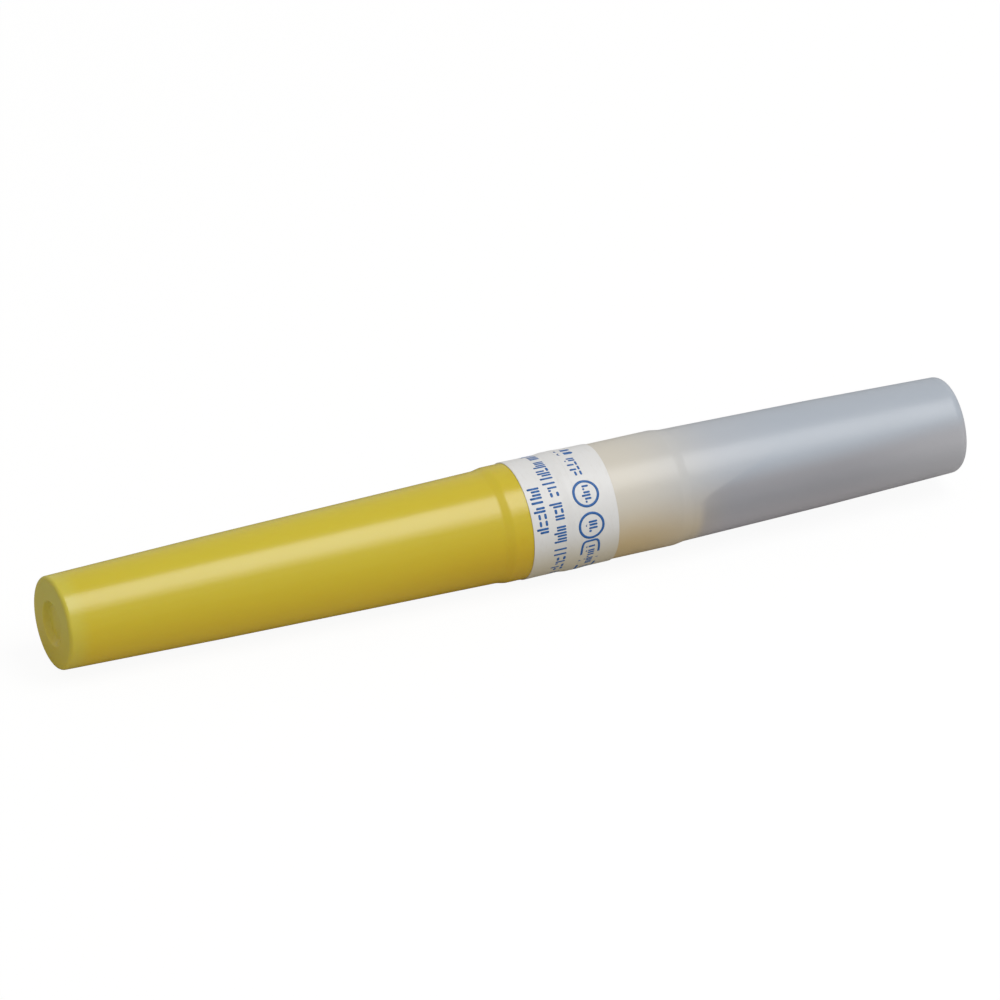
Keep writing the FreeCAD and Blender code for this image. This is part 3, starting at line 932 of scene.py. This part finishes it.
@dataclass(frozen=True)
class Hub:
    """The moulded hub: nose and fluted barrel, flange, plug, coarse thread and barbed spigot."""

    joint: Joint
    crest_radius: float = 4.05
    nose_radius: float = 1.7
    cone_length: float = 2.0
    flutes: int = 12
    flute_radius: float = 0.65
    flute_depth: float = 0.5
    plug_end: float = 52.6
    plug_chamfer: float = 0.3
    back: float = 59.2
    root_radius: float = 3.2
    thread_radius: float = 3.75
    thread_start: float = 53.2
    thread_pitch: float = 2.0
    thread_turns: float = 2.4
    thread_crest: float = 0.5
    flank: float = 0.3175
    thread_fade: float = 0.12
    thread_step: float = 0.045
    spigot_radius: float = 1.25
    spigot_tip: float = 63.4
    barb_radius: float = 1.5
    barb_setback: float = 1.9
    tip_radius: float = 1.1
    bore_radius: float = 0.474
    well_radius: float = 1.15
    well_floor_radius: float = 0.625
    well_depth: float = 2.2
    edge: float = 0.1
    fine_edge: float = 0.05
    nose_edge: float = 0.12
    cone_edge: float = 0.2
    root_margin: float = 0.12
    spacing: float = 1.0
    flute_columns: int = 12
    land_columns: int = 5
    crease: float = 50.0

    @property
    def well_floor(self) -> float:
        """The station of the well's floor."""
        return self.joint.front_step + self.well_depth

    @property
    def barb(self) -> float:
        """The station of the spigot's barb."""
        return self.spigot_tip - self.barb_setback

    def corners(self) -> list[Corner]:
        """Draw the outline.

        Returns:
            Its corners, from the front end of the bore round to that end again.
        """
        joint = self.joint
        return [
            Corner(self.well_floor, self.bore_radius),
            Corner(self.well_floor, self.well_floor_radius, INNER_EDGE),
            Corner(joint.front_step, self.well_radius, self.fine_edge),
            Corner(joint.front_step, self.nose_radius, self.nose_edge),
            Corner(joint.front_step + self.cone_length, self.crest_radius, self.cone_edge),
            Corner(joint.front_mouth, self.crest_radius, self.fine_edge),
            Corner(joint.front_mouth, joint.collar_radius, self.edge),
            Corner(joint.rear_mouth, joint.collar_radius, self.edge),
            Corner(joint.rear_mouth, self.crest_radius, self.fine_edge),
            Corner(self.plug_end - self.plug_chamfer, self.crest_radius, self.edge),
            Corner(self.plug_end, self.root_radius, self.edge),
            Corner(self.back, self.root_radius, self.edge),
            Corner(self.back, self.spigot_radius, self.edge),
            Corner(self.barb, self.spigot_radius, self.fine_edge),
            Corner(self.barb, self.barb_radius, self.fine_edge),
            Corner(self.spigot_tip, self.tip_radius, self.fine_edge),
            Corner(self.spigot_tip, self.bore_radius),
            Corner(self.well_floor, self.bore_radius),
        ]

    def columns(self) -> np.ndarray:
        """Space the columns, close together in each flute and with one on each flute's edge.

        A flute's edge lies where its circle crosses the crest circle, by the law of cosines.

        Returns:
            The angles of a whole turn, with the first one given again at the end.
        """
        centre = self.crest_radius + self.flute_radius - self.flute_depth
        cosine = (centre**2 + self.crest_radius**2 - self.flute_radius**2) / (2 * centre * self.crest_radius)
        edge, period = math.acos(cosine), FULL_TURN / self.flutes
        flute = np.linspace(-edge, edge, self.flute_columns, endpoint=False)
        land = np.linspace(edge, period - edge, self.land_columns, endpoint=False)
        one = np.concatenate((flute, land))
        angles = (np.arange(self.flutes)[:, None] * period + one).ravel()
        return np.append(angles, angles[0] + FULL_TURN)

    def fluted(self, station: np.ndarray, radius: np.ndarray, angle: np.ndarray) -> np.ndarray:
        """Cut the flutes into the barrel.

        Inside a flute the radius is the near side of a circle whose centre lies outside the crest: the
        centre's distance times the cosine of the angle to it, less the half chord there.

        Args:
            station: Stations of the rows.
            radius: Radii of the turned form.
            angle: Angles of the columns.

        Returns:
            The radii with the flutes.
        """
        period = FULL_TURN / self.flutes
        off = (angle + period / 2) % period - period / 2
        centre = self.crest_radius + self.flute_radius - self.flute_depth
        chord = self.flute_radius**2 - (centre * np.sin(off)) ** 2
        floor = centre * np.cos(off) - np.sqrt(np.maximum(chord, 0))
        cut = (chord > 0) & (station < self.joint.front_mouth) & (radius > self.well_radius)
        return np.where(cut, np.minimum(radius, floor), radius)

    def threaded(self, station: np.ndarray, radius: np.ndarray, angle: np.ndarray) -> np.ndarray:
        """Wind the thread on the root.

        The thread stands by how far a station lies inside the rib: its distance from the helix, which
        climbs one pitch a turn, runs up the flank, over the crest and down again. The rib fades in and out
        over a short part of a turn.

        Args:
            station: Stations of the rows.
            radius: Radii of the turned form.
            angle: Angles of the columns.

        Returns:
            The radii with the thread.
        """
        width = 2 * self.flank + self.thread_crest
        share = angle / FULL_TURN
        start = self.thread_start + share * self.thread_pitch
        turn = np.floor((station - start) / self.thread_pitch)
        into = station - start - turn * self.thread_pitch
        wound = turn + share
        rise = np.clip(np.minimum(into, width - into) / self.flank, 0, 1)
        fade = np.clip(np.minimum(wound, self.thread_turns - wound) / self.thread_fade, 0, 1)
        height = (self.thread_radius - self.root_radius) * rise * np.sqrt(fade)
        behind_plug = (station > self.plug_end + self.edge) & (station < self.back)
        root = behind_plug & (radius > self.root_radius - self.fine_edge)
        return np.where(root, np.maximum(radius, self.root_radius + height), radius)

    def build(self, axis: NeedleAxis) -> bpy.types.Object:
        """Make the hub in one skin, turned form, flutes and thread together.

        The few rows of the thread's root are first exchanged for close ones.

        Args:
            axis: The needle's axis.

        Returns:
            The hub.
        """
        path = outline(self.corners(), self.spacing)
        fine = np.arange(self.plug_end + self.plug_chamfer, self.back - self.root_margin, self.thread_step)
        cut = np.flatnonzero((path[:, 1] == self.root_radius) & (path[:, 0] > self.plug_end))
        rows = np.stack((fine, np.full_like(fine, self.root_radius)), axis=-1)
        path = np.concatenate((path[: cut[0]], rows, path[cut[-1] + 1 :]))
        station, radius, angle = np.broadcast_arrays(path[:, :1], path[:, 1:], self.columns()[None, :])
        radius = self.threaded(station, self.fluted(station, radius, angle), angle)
        share = np.stack((angle / FULL_TURN, station), axis=-1)
        points = axis.place(station, radius, angle)
        piece = mesh_piece("threaded_hub", [points], [share], self.crease)
        dress(piece, HubPolymer().material(), Body.NEEDLE, Slot.HUB_PLASTIC, "hub")
        return piece


@dataclass(frozen=True)
class Cannula:
    """The steel tube with its lancet point in front and its short bevel at the back."""

    tip: float = 4.0
    back: float = 76.4
    radius: float = 0.454
    bore: float = 0.3015
    face_angle: float = math.radians(13)
    side_angle: float = math.radians(22)
    side_turn: float = math.radians(50)
    back_angle: float = math.radians(20)
    rows: int = 49
    wall_rows: int = 5
    columns: int = 96
    crease: float = 25.0

    def front_end(self, radius: np.ndarray, angle: np.ndarray) -> np.ndarray:
        """Grind the lancet point.

        Each ground face is a plane, whose station grows with the height above its low edge, divided by the
        tangent of its angle. The tube is left behind the rearmost of the three planes.

        Args:
            radius: Radii of the tube's points.
            angle: Their angles from the side that is ground last.

        Returns:
            The stations of the point's faces there.
        """
        drop = self.radius - self.radius * math.cos(self.side_turn)
        face = self.tip + (radius * np.cos(angle) + self.radius) / math.tan(self.face_angle)
        toe = self.tip - drop / math.tan(self.side_angle)
        sides = [
            toe + (radius * np.cos(angle - turn) + self.radius) / math.tan(self.side_angle)
            for turn in (self.side_turn, -self.side_turn)
        ]
        return np.maximum(face, np.maximum(*sides))

    def back_end(self, radius: np.ndarray, angle: np.ndarray) -> np.ndarray:
        """The station of the short bevel at a radius and angle, a single plane like those in front."""
        return self.back - (radius * np.cos(angle) + self.radius) / math.tan(self.back_angle)

    def build(self, axis: NeedleAxis) -> bpy.types.Object:
        """Make the tube as one ring of surfaces: outside, front face, bore and back face.

        Args:
            axis: The needle's axis.

        Returns:
            The tube.
        """
        angle = whole_turn(self.columns)[None, :]
        wall = np.linspace(self.radius, self.bore, self.wall_rows)[:, None]
        length = np.linspace(0, 1, self.rows)[:, None]
        parts = []
        for radius, share in ((self.radius, length[::-1]), (self.bore, length)):
            edges = self.front_end(radius, angle), self.back_end(radius, angle)
            parts.append((edges[0] + (edges[1] - edges[0]) * share, np.full_like(share, radius) + 0 * angle))
        front = self.front_end(wall, angle), wall + 0 * angle
        back = self.back_end(wall[::-1], angle), wall[::-1] + 0 * angle
        station, radius = (np.concatenate(rows) for rows in zip(parts[0], front, parts[1], back))
        share = np.broadcast_arrays(angle / FULL_TURN, station)
        points = axis.place(station, radius, angle)
        piece = mesh_piece("steel_cannula", [points], [np.stack(share, axis=-1)], self.crease)
        dress(piece, GroundSteel().material(), Body.NEEDLE, Slot.NEEDLE_STEEL, "cannula")
        return piece


@dataclass(frozen=True)
class ResinBead:
    """The resin that fills the hub's well and climbs the cannula."""

    hub: Hub
    tube: Cannula
    climb: float = 0.5
    rows: int = 17
    columns: int = 96

    def build(self, axis: NeedleAxis) -> bpy.types.Object:
        """Make the bead. Its free face climbs with the square of the distance from the well's wall.

        Args:
            axis: The needle's axis.

        Returns:
            The bead.
        """
        inner, wall, floor = self.tube.radius, self.hub.well_radius, self.hub.well_floor
        radius = np.linspace(inner, wall, self.rows)
        share = (wall - radius) / (wall - inner)
        face = np.stack((self.hub.joint.front_step - self.climb * share**2, radius), axis=-1)
        rest = np.array([(floor, self.hub.well_floor_radius), (floor, inner), face[0]])
        piece = turned_piece("resin_bead", axis, np.concatenate((face, rest)), self.columns)
        dress(piece, CuredResin().material(), Body.NEEDLE, Slot.RESIN, "adhesive_bead")
        return piece


@dataclass(frozen=True)
class Sleeve:
    """The closed rubber sleeve over the back of the cannula, stretched over the spigot's barb."""

    hub: Hub
    mouth: float = 59.5
    cavity_end: float = 77.0
    closed_end: float = 78.0
    cuff_radius: float = 2.1
    body_radius: float = 1.7
    cavity_radius: float = 0.75
    cuff_taper: float = 1.2
    cavity_round: float = 0.5
    cuff_edge: float = 0.25
    cuff_bend: float = 1.5
    end_round: float = 0.8
    spacing: float = 0.8
    columns: int = 128

    def corners(self) -> list[Corner]:
        """Draw the outline.

        Returns:
            Its corners, from the middle of the cavity's end, over the cuff, to the middle of the closed end.
        """
        hub, tip = self.hub, self.hub.spigot_tip
        return [
            Corner(self.cavity_end, 0.0),
            Corner(self.cavity_end, self.cavity_radius, self.cavity_round),
            Corner(tip, self.cavity_radius, MOUTH_EDGE),
            Corner(tip, hub.tip_radius, INNER_EDGE),
            Corner(hub.barb, hub.barb_radius, INNER_EDGE),
            Corner(hub.barb, hub.spigot_radius, INNER_EDGE),
            Corner(self.mouth, hub.spigot_radius, MOUTH_RIM),
            Corner(self.mouth, self.cuff_radius, self.cuff_edge),
            Corner(tip, self.cuff_radius, self.cuff_bend),
            Corner(tip + self.cuff_taper, self.body_radius, self.cuff_bend),
            Corner(self.closed_end, self.body_radius, self.end_round),
            Corner(self.closed_end, 0.0),
        ]

    def build(self, axis: NeedleAxis) -> bpy.types.Object:
        """Make the sleeve.

        Args:
            axis: The needle's axis.

        Returns:
            The sleeve.
        """
        piece = turned_piece("sleeve", axis, outline(self.corners(), self.spacing), self.columns)
        dress(piece, SleeveRubber().material(), Body.NEEDLE, Slot.SLEEVE_RUBBER, "rubber_sleeve")
        return piece


# The seal


@dataclass(frozen=True)
class SealHalf:
    """One half of the paper seal, between its outer edge and the tear line.

    The line gives the stations and radii that the paper lies on, in millimetres, and the edge how far its
    cut edges are eased. Where the end of the strip laps over its start, the paper rises over the lap edge.
    """

    name: str
    node: str
    body: Body
    line: tuple[tuple[float, float], ...]
    thickness: float = 0.08
    edge: float = 0.012
    lap_angle: float = math.radians(214)
    lap_length: float = math.radians(24)
    lap_edge: float = math.radians(0.8)
    lap_share: float = 0.9
    rows: int = 41
    columns: int = 240

    def face(self, station: np.ndarray, angle: np.ndarray) -> np.ndarray:
        """Work out the paper's outer face.

        It lies one thickness outside the line, and nearly one more where the strip laps over its start.

        Args:
            station: Stations of the points.
            angle: Their angles.

        Returns:
            Their radii.
        """
        stations, radii = np.array(self.line).T
        inside = (angle - self.lap_angle) % FULL_TURN
        rise = np.clip(np.minimum(inside, self.lap_length - inside) / self.lap_edge, 0, 1)
        return np.interp(station, stations, radii) + self.thickness * (1 + rise * self.lap_share)

    def build(self, axis: NeedleAxis, paper: bpy.types.Material) -> bpy.types.Object:
        """Make the half as a closed band: outer face, edge, inner face and edge.

        Args:
            axis: The needle's axis.
            paper: The label stock.

        Returns:
            The half.
        """
        stations, radii = np.array(self.line).T
        run = np.linspace(stations[0], stations[-1], self.rows)[:, None]
        run = np.concatenate((run[:1], run[:1] + self.edge, run[1:-1], run[-1:] - self.edge, run[-1:]))
        climb = np.array((0, 0.5, 1)) * self.lap_edge
        lap = self.lap_angle + np.concatenate((climb, self.lap_length - climb))
        angle = np.union1d(whole_turn(self.columns), lap)[None, :]
        outer = self.face(run, angle)
        easing = np.where((run == run[0]) | (run == run[-1]), self.edge, 0.0)
        inner = np.interp(run[::-1], stations, radii) + 0 * angle
        station = np.concatenate((run, run[::-1], run[:1]))
        radius = np.concatenate((outer - easing, inner, (outer - easing)[:1]))
        share = np.broadcast_arrays(angle / FULL_TURN, station)
        piece = mesh_piece(self.name, [axis.place(station, radius, angle)], [np.stack(share, axis=-1)])
        dress(piece, paper, self.body, Slot.SEAL_PAPER, self.node)
        return piece


@dataclass(frozen=True)
class Bar:
    """A printed stroke with rounded corners: its station, its first and last angle in degrees, its height."""

    station: float
    first: float
    last: float
    height: float


@dataclass(frozen=True)
class Ring:
    """A printed ring: its station, its angle in degrees, its radius and its line width."""

    station: float
    angle: float
    radius: float
    line: float


@dataclass(frozen=True)
class Box:
    """A printed rounded outline: its station, its first and last angle, its height and its line width."""

    station: float
    first: float
    last: float
    height: float
    line: float


# Angles of printed marks are counted from this many degrees behind the top, where the print comes into view.
VIEW_TURN = 30.0


def loop_grid(station: np.ndarray, around: np.ndarray, width: float) -> tuple[np.ndarray, np.ndarray]:
    """Spread a closed line on the paper into a band of three rows, half of its width on each side.

    Args:
        station: Stations of the line's points.
        around: Distances round the needle of its points.
        width: The band's width.

    Returns:
        The stations and the distances round of the band, as grids.
    """
    lead = np.gradient(station), np.gradient(around)
    size = np.hypot(*lead)
    offset = np.array((-0.5, 0.0, 0.5))[:, None] * width
    return station + offset * lead[1] / size, around - offset * lead[0] / size


@dataclass(frozen=True)
class SealPrint:
    """The plain printed marks on one half of the seal: bars, rings and an outline.

    The ink's top lies above the paper by the lift. The film is its thickness, which reaches into the paper.
    """

    name: str
    half: SealHalf
    marks: tuple[Bar | Ring | Box, ...]
    paper_radius: float = 5.4
    lift: float = 0.004
    film: float = 0.006
    ring_steps: int = 64
    box_steps: int = 96
    box_power: float = 0.35
    stroke_steps: int = 12
    stroke_round: float = 0.9

    def around(self, degrees: float) -> float:
        """The distance round the paper of a mark's angle."""
        return math.radians(degrees - VIEW_TURN) * self.paper_radius

    def flat_grid(self, mark: Bar | Ring | Box) -> tuple[np.ndarray, np.ndarray]:
        """Lay one mark out flat.

        A stroke is a grid of shares across and along, whose half height near its ends follows the root of
        one less the square of the distance past the straight part, as in a quarter disc. A ring is a circle
        and a box a circle stretched towards its corners, each spread into a band.

        Args:
            mark: The mark.

        Returns:
            The stations and the distances round the needle of its points, as grids.
        """
        if isinstance(mark, Ring):
            turn, middle = whole_turn(self.ring_steps), self.around(mark.angle)
            across, along = mark.radius * np.cos(turn), mark.radius * np.sin(turn)
            return loop_grid(mark.station + across, middle + along, mark.line)
        first, last = self.around(mark.first), self.around(mark.last)
        middle, half, cap = (first + last) / 2, (last - first) / 2, mark.height / 2
        if isinstance(mark, Box):
            turn = whole_turn(self.box_steps)
            across = np.sign(np.cos(turn)) * np.abs(np.cos(turn)) ** self.box_power * cap
            along = np.sign(np.sin(turn)) * np.abs(np.sin(turn)) ** self.box_power * half
            return loop_grid(mark.station + across, middle + along, mark.line)
        bend_radius = min(half, cap) * self.stroke_round
        run = np.sin(np.linspace(-0.5, 0.5, self.stroke_steps + 1) * math.pi) * half
        past = np.clip((np.abs(run) - (half - bend_radius)) / bend_radius, 0, 1)
        height = cap - bend_radius + bend_radius * np.sqrt(1 - past**2)
        across = np.linspace(-1, 1, 3)[:, None]
        station = mark.station + across * height
        return station, np.broadcast_to(middle + run, station.shape)

    def build(self, axis: NeedleAxis, ink: bpy.types.Material) -> bpy.types.Object:
        """Make all the marks of this half as one thin skin of ink.

        Args:
            axis: The needle's axis.
            ink: The printing ink.

        Returns:
            The marks.
        """
        grids, uvs = [], []
        for mark in self.marks:
            station, around = self.flat_grid(mark)
            angle = around / self.paper_radius
            radius = self.half.face(station, angle) + self.lift
            grids.append(axis.place(station, radius, angle))
            uvs.append(np.stack((station, around), axis=-1))
        piece = mesh_piece(self.name, grids, uvs)
        skin = piece.modifiers.new("ink_film", "SOLIDIFY")
        skin.thickness = self.film * MILLIMETRE
        skin.offset = -1
        dress(piece, ink, self.half.body, None)
        return piece


# Plain patterns of strokes, which spell nothing. Each stroke has its first and last place as shares of the
# pitch, and its foot and top as shares of the row's height. Groups of them lie a share of the pitch apart.
GROUP_GAP = 0.8
SIGNS = (
    ((0.14, 0.48, 0.0, 1.0),),
    ((0.0, 0.33, 0.0, 0.74), (0.47, 0.8, 0.0, 0.74)),
    ((0.0, 0.33, 0.0, 0.74), (0.45, 0.8, 0.52, 0.74)),
    ((0.0, 0.78, 0.0, 0.2), (0.0, 0.78, 0.5, 0.7)),
    ((0.0, 0.33, 0.0, 1.0), (0.47, 0.8, 0.0, 0.74)),
    ((0.0, 0.33, 0.0, 0.74), (0.47, 0.8, 0.0, 1.0)),
    ((0.0, 0.78, 0.0, 0.2), (0.45, 0.78, 0.34, 1.0)),
)


def row(
    station: float, height: float, first: float, counts: Sequence[int], pitch: float, seed: int
) -> tuple[Bar, ...]:
    """A row of plain strokes grouped like small print, which spells nothing.

    Args:
        station: The station of the row's middle.
        height: The height of its tallest strokes, along the needle.
        first: The angle in degrees at which it starts.
        counts: How many signs each group holds.
        pitch: The degrees from one sign to the next.
        seed: Which draw of signs it is.

    Returns:
        The strokes.
    """
    draw = np.random.default_rng(seed)
    marks, angle = [], first
    for count in counts:
        for choice in draw.integers(len(SIGNS), size=count):
            for left, right, foot, top in SIGNS[choice]:
                middle = station + height * (0.5 - (foot + top) / 2)
                marks.append(Bar(middle, angle + left * pitch, angle + right * pitch, height * (top - foot)))
            angle += pitch
        angle += GROUP_GAP * pitch
    return tuple(marks)


class Seal:
    """The whole paper seal over the joint of the two shields."""

    def __init__(self, joint: Joint) -> None:
        """Work out the lines that the two halves follow over the mouths and the hub's flange.

        The paper lies on the tapered collars, climbs the ramps to the ridge over the flange, and is flat
        between them. The ridge rises over the flange, and the other rises are how far the tapers differ from
        the mouths' radii at the line's points.

        Args:
            joint: The stations and radii of the joint.
        """
        ridge_rise, front_rise, rear_rise, edge_rise = 0.05, 0.009, -0.007, -0.032
        ridge, ramp = joint.collar_radius + ridge_rise, 0.7
        front = (
            (joint.front_label, joint.collar_radius),
            (joint.front_mouth - ramp, joint.front_mouth_radius + front_rise),
            (joint.front_mouth, ridge),
            (joint.tear_line, ridge),
        )
        rear = (
            (joint.tear_line, ridge),
            (joint.rear_mouth, ridge),
            (joint.rear_mouth + ramp, joint.rear_mouth_radius + rear_rise),
            (joint.rear_label, joint.rear_mouth_radius + edge_rise),
        )
        self.front = SealHalf("paper_seal_front", "seal_label_front", Body.FRONT_CASE, front)
        self.rear = SealHalf("paper_seal_rear", "seal_label_rear", Body.REAR_CASE, rear)
        tear = joint.tear_line
        self.front_marks = (
            *row(tear - 2.05, 1.24, 0.0, (4, 8, 3, 3, 6, 4, 7, 5, 6, 4), 6.0, 3),
            *row(tear - 3.7, 1.16, 62.0, (7,), 6.8, 5),
            *row(tear - 3.7, 0.9, 212.0, (5, 6, 4), 5.4, 9),
        )
        self.rear_marks = (
            Bar(tear + 0.95, 14.0, 19.0, 1.5),
            Bar(tear + 0.95, 22.5, 27.5, 1.5),
            *row(tear + 0.85, 1.0, 35.0, (4,), 6.4, 4),
            Ring(tear + 1.0, 78.8, 1.16, 0.24),
            *row(tear + 1.0, 0.86, 70.5, (3,), 6.2, 21),
            Ring(tear + 1.0, 110.4, 1.16, 0.24),
            *row(tear + 1.0, 1.16, 105.5, (2,), 6.2, 22),
            Box(tear + 0.9, 126.0, 176.0, 1.7, 0.22),
            *row(tear + 0.9, 0.9, 131.0, (5, 2), 6.0, 23),
            *row(tear + 0.9, 0.86, 190.0, (5, 7, 4), 5.9, 24),
        )

    def build(self, axis: NeedleAxis) -> None:
        """Make both halves and their print.

        Args:
            axis: The needle's axis.
        """
        paper, ink = SealPaper().material(axis), PrintInk().material()
        self.front.build(axis, paper)
        self.rear.build(axis, paper)
        SealPrint("seal_print_front", self.front, self.front_marks).build(axis, ink)
        SealPrint("seal_print_rear", self.rear, self.rear_marks).build(axis, ink)


# The studio


@dataclass(frozen=True)
class Softbox:
    """A rectangular lamp that faces the middle of the picture, with its long side along the needle.

    Its direction is a share of the way along the needle, and for the rest an angle from the top towards the
    viewer's side. Distance, length and breadth are in metres, and glow is the brightness of its face.
    """

    name: str
    angle: float
    distance: float
    length: float
    breadth: float
    glow: float
    along: float = 0.35

    def build(self, axis: NeedleAxis) -> None:
        """Hang the lamp. A flat lamp sends out its face's brightness times its area times pi.

        Args:
            axis: The needle's axis.
        """
        turn = math.radians(self.angle)
        across = math.cos(turn) * axis.up + math.sin(turn) * axis.side
        away = self.along * axis.along + math.sqrt(1 - self.along**2) * across
        long_side = axis.along - self.along * away
        long_side /= np.linalg.norm(long_side)
        lamp = bpy.data.lights.new(self.name, "AREA")
        lamp.shape = "RECTANGLE"
        lamp.size, lamp.size_y = self.length, self.breadth
        lamp.energy = self.glow * self.length * self.breadth * math.pi
        holder = bpy.data.objects.new(self.name, lamp)
        holder.location = away * self.distance
        holder.rotation_mode = "QUATERNION"
        turned = Matrix((long_side, np.cross(away, long_side), away)).transposed()
        holder.rotation_quaternion = turned.to_quaternion()
        bpy.context.scene.collection.objects.link(holder)


@dataclass(frozen=True)
class Studio:
    """The camera, the floor, the lamps and the white surroundings.

    The pixel is the width in metres that one pixel of the picture shows at the needle, and the aim pixel is
    where the axis shows at the aim station. The floor glows by its glow for the seen share of what the camera
    sees, which leaves a faint shadow, and mirrors show it darker by the dimmed share. The fill is the light
    from all round.
    """

    azimuth: float = math.radians(-23.9)
    elevation: float = math.radians(28.4)
    distance: float = 2.5
    pixel: float = 0.0896 * MILLIMETRE
    aim_station: float = 44.0
    aim_pixel: tuple[float, float] = (503.4, 522.8)
    picture: int = 1000
    sensor: float = 36.0
    clip: tuple[float, float] = (0.05, 20.0)
    floor_half: float = 3.0
    floor_colour: Colour = linear(206, 205, 203)
    floor_glow: float = 1.06
    seen_share: float = 0.88
    dimmed_share: float = 0.5
    fill: float = 0.52

    def camera(self, axis: NeedleAxis) -> None:
        """Set up the camera.

        It looks back along the azimuth and elevation from that distance. Its aim is moved from a station of
        the axis by as many pixels as that point lies from the picture's middle.

        Args:
            axis: The needle's axis.
        """
        sine, cosine = math.sin(self.elevation), math.cos(self.elevation)
        back = Vector((math.sin(self.azimuth) * cosine, -math.cos(self.azimuth) * cosine, sine))
        right = Vector((0, 0, 1)).cross(back).normalized()
        up = back.cross(right)
        across, down = (value - self.picture / 2 for value in self.aim_pixel)
        point = Vector(axis.place(np.array(self.aim_station), np.array(0.0), np.array(0.0)))
        aim = point - right * across * self.pixel + up * down * self.pixel
        data = bpy.data.cameras.new("camera")
        data.sensor_width = self.sensor
        data.lens = data.sensor_width * self.distance / (self.pixel * self.picture)
        data.clip_start, data.clip_end = self.clip
        camera = bpy.data.objects.new("camera", data)
        camera.location = aim + back * self.distance
        camera.rotation_mode = "QUATERNION"
        camera.rotation_quaternion = (-back).to_track_quat("-Z", "Y")
        bpy.context.scene.collection.objects.link(camera)
        bpy.context.scene.camera = camera

    def seen_white(self, shader: Shader) -> Wave:
        """Whether a ray comes from the camera or through a clear surface, from 0 to 1."""
        path = shader.node("ShaderNodeLightPath").outputs
        return Wave(shader, path["Is Camera Ray"]) + Wave(shader, path["Is Transmission Ray"])

    def floor(self) -> None:
        """Lay the pale floor, which shows nearly white and keeps a faint shadow."""
        shader = Shader("pale_floor")
        matte = shader.node("ShaderNodeBsdfDiffuse", None, {"Color": self.floor_colour}).outputs[0]
        white = {"Color": (1.0, 1.0, 1.0), "Strength": self.floor_glow}
        glow = shader.node("ShaderNodeEmission", None, white).outputs[0]
        mirrored = Wave(shader, shader.node("ShaderNodeLightPath").outputs["Is Glossy Ray"])
        inputs = {0: mirrored * self.dimmed_share, 1: matte}
        dimmed = shader.node("ShaderNodeMixShader", None, inputs).outputs[0]
        share = self.seen_white(shader) * self.seen_share
        mixed = shader.node("ShaderNodeMixShader", None, {0: share, 1: dimmed, 2: glow}).outputs[0]
        material = shader.close(mixed)
        side = np.linspace(-self.floor_half, self.floor_half, 3)
        across, along = np.meshgrid(side, side, indexing="ij")
        grid = np.stack((across, along, np.zeros_like(across)), axis=-1)
        floor = mesh_piece("floor", [grid], [grid[..., :2]])
        floor.data.materials.append(material)

    def surroundings(self) -> None:
        """Light the scene evenly from all round, and show white beyond the floor."""
        world = bpy.data.worlds.new("surroundings")
        world.use_nodes = True
        tree = world.node_tree
        tree.nodes.clear()
        path = tree.nodes.new("ShaderNodeLightPath")
        strength = tree.nodes.new("ShaderNodeMix")
        strength.inputs[2].default_value, strength.inputs[3].default_value = self.fill, 1.0
        tree.links.new(path.outputs["Is Camera Ray"], strength.inputs[0])
        glow = tree.nodes.new("ShaderNodeBackground")
        glow.inputs["Color"].default_value = (1.0, 1.0, 1.0, 1.0)
        tree.links.new(strength.outputs[0], glow.inputs["Strength"])
        output = tree.nodes.new("ShaderNodeOutputWorld")
        tree.links.new(glow.outputs[0], output.inputs["Surface"])
        bpy.context.scene.world = world

    def build(self, axis: NeedleAxis) -> None:
        """Set up the whole studio.

        Args:
            axis: The needle's axis.
        """
        bpy.context.scene.view_settings.view_transform = "Standard"
        self.camera(axis)
        self.floor()
        self.surroundings()
        for lamp in (
            Softbox("overhead_softbox", angle=20.5, distance=0.6, length=0.31, breadth=0.37, glow=4.9),
            Softbox("softbox_edge", angle=44.0, distance=0.6, length=0.31, breadth=0.11, glow=2.0),
            Softbox("edge_strip", angle=63.0, distance=0.8, length=0.5, breadth=0.05, glow=0.7),
        ):
            lamp.build(axis)


def main() -> None:
    logging.basicConfig(level=logging.INFO, format="%(name)s: %(message)s")
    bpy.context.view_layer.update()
    joint = Joint()
    axis = NeedleAxis.from_record(frame["record"], "rear_collar", joint.collar_mount)
    hub, tube = Hub(joint), Cannula()
    hub.build(axis)
    tube.build(axis)
    ResinBead(hub, tube).build(axis)
    Sleeve(hub).build(axis)
    FrontShield(joint).build(axis)
    RearShield(joint).build(axis)
    Seal(joint).build(axis)
    Studio().build(axis)
    bpy.context.view_layer.update()


if __name__ == "__main__":
    main()
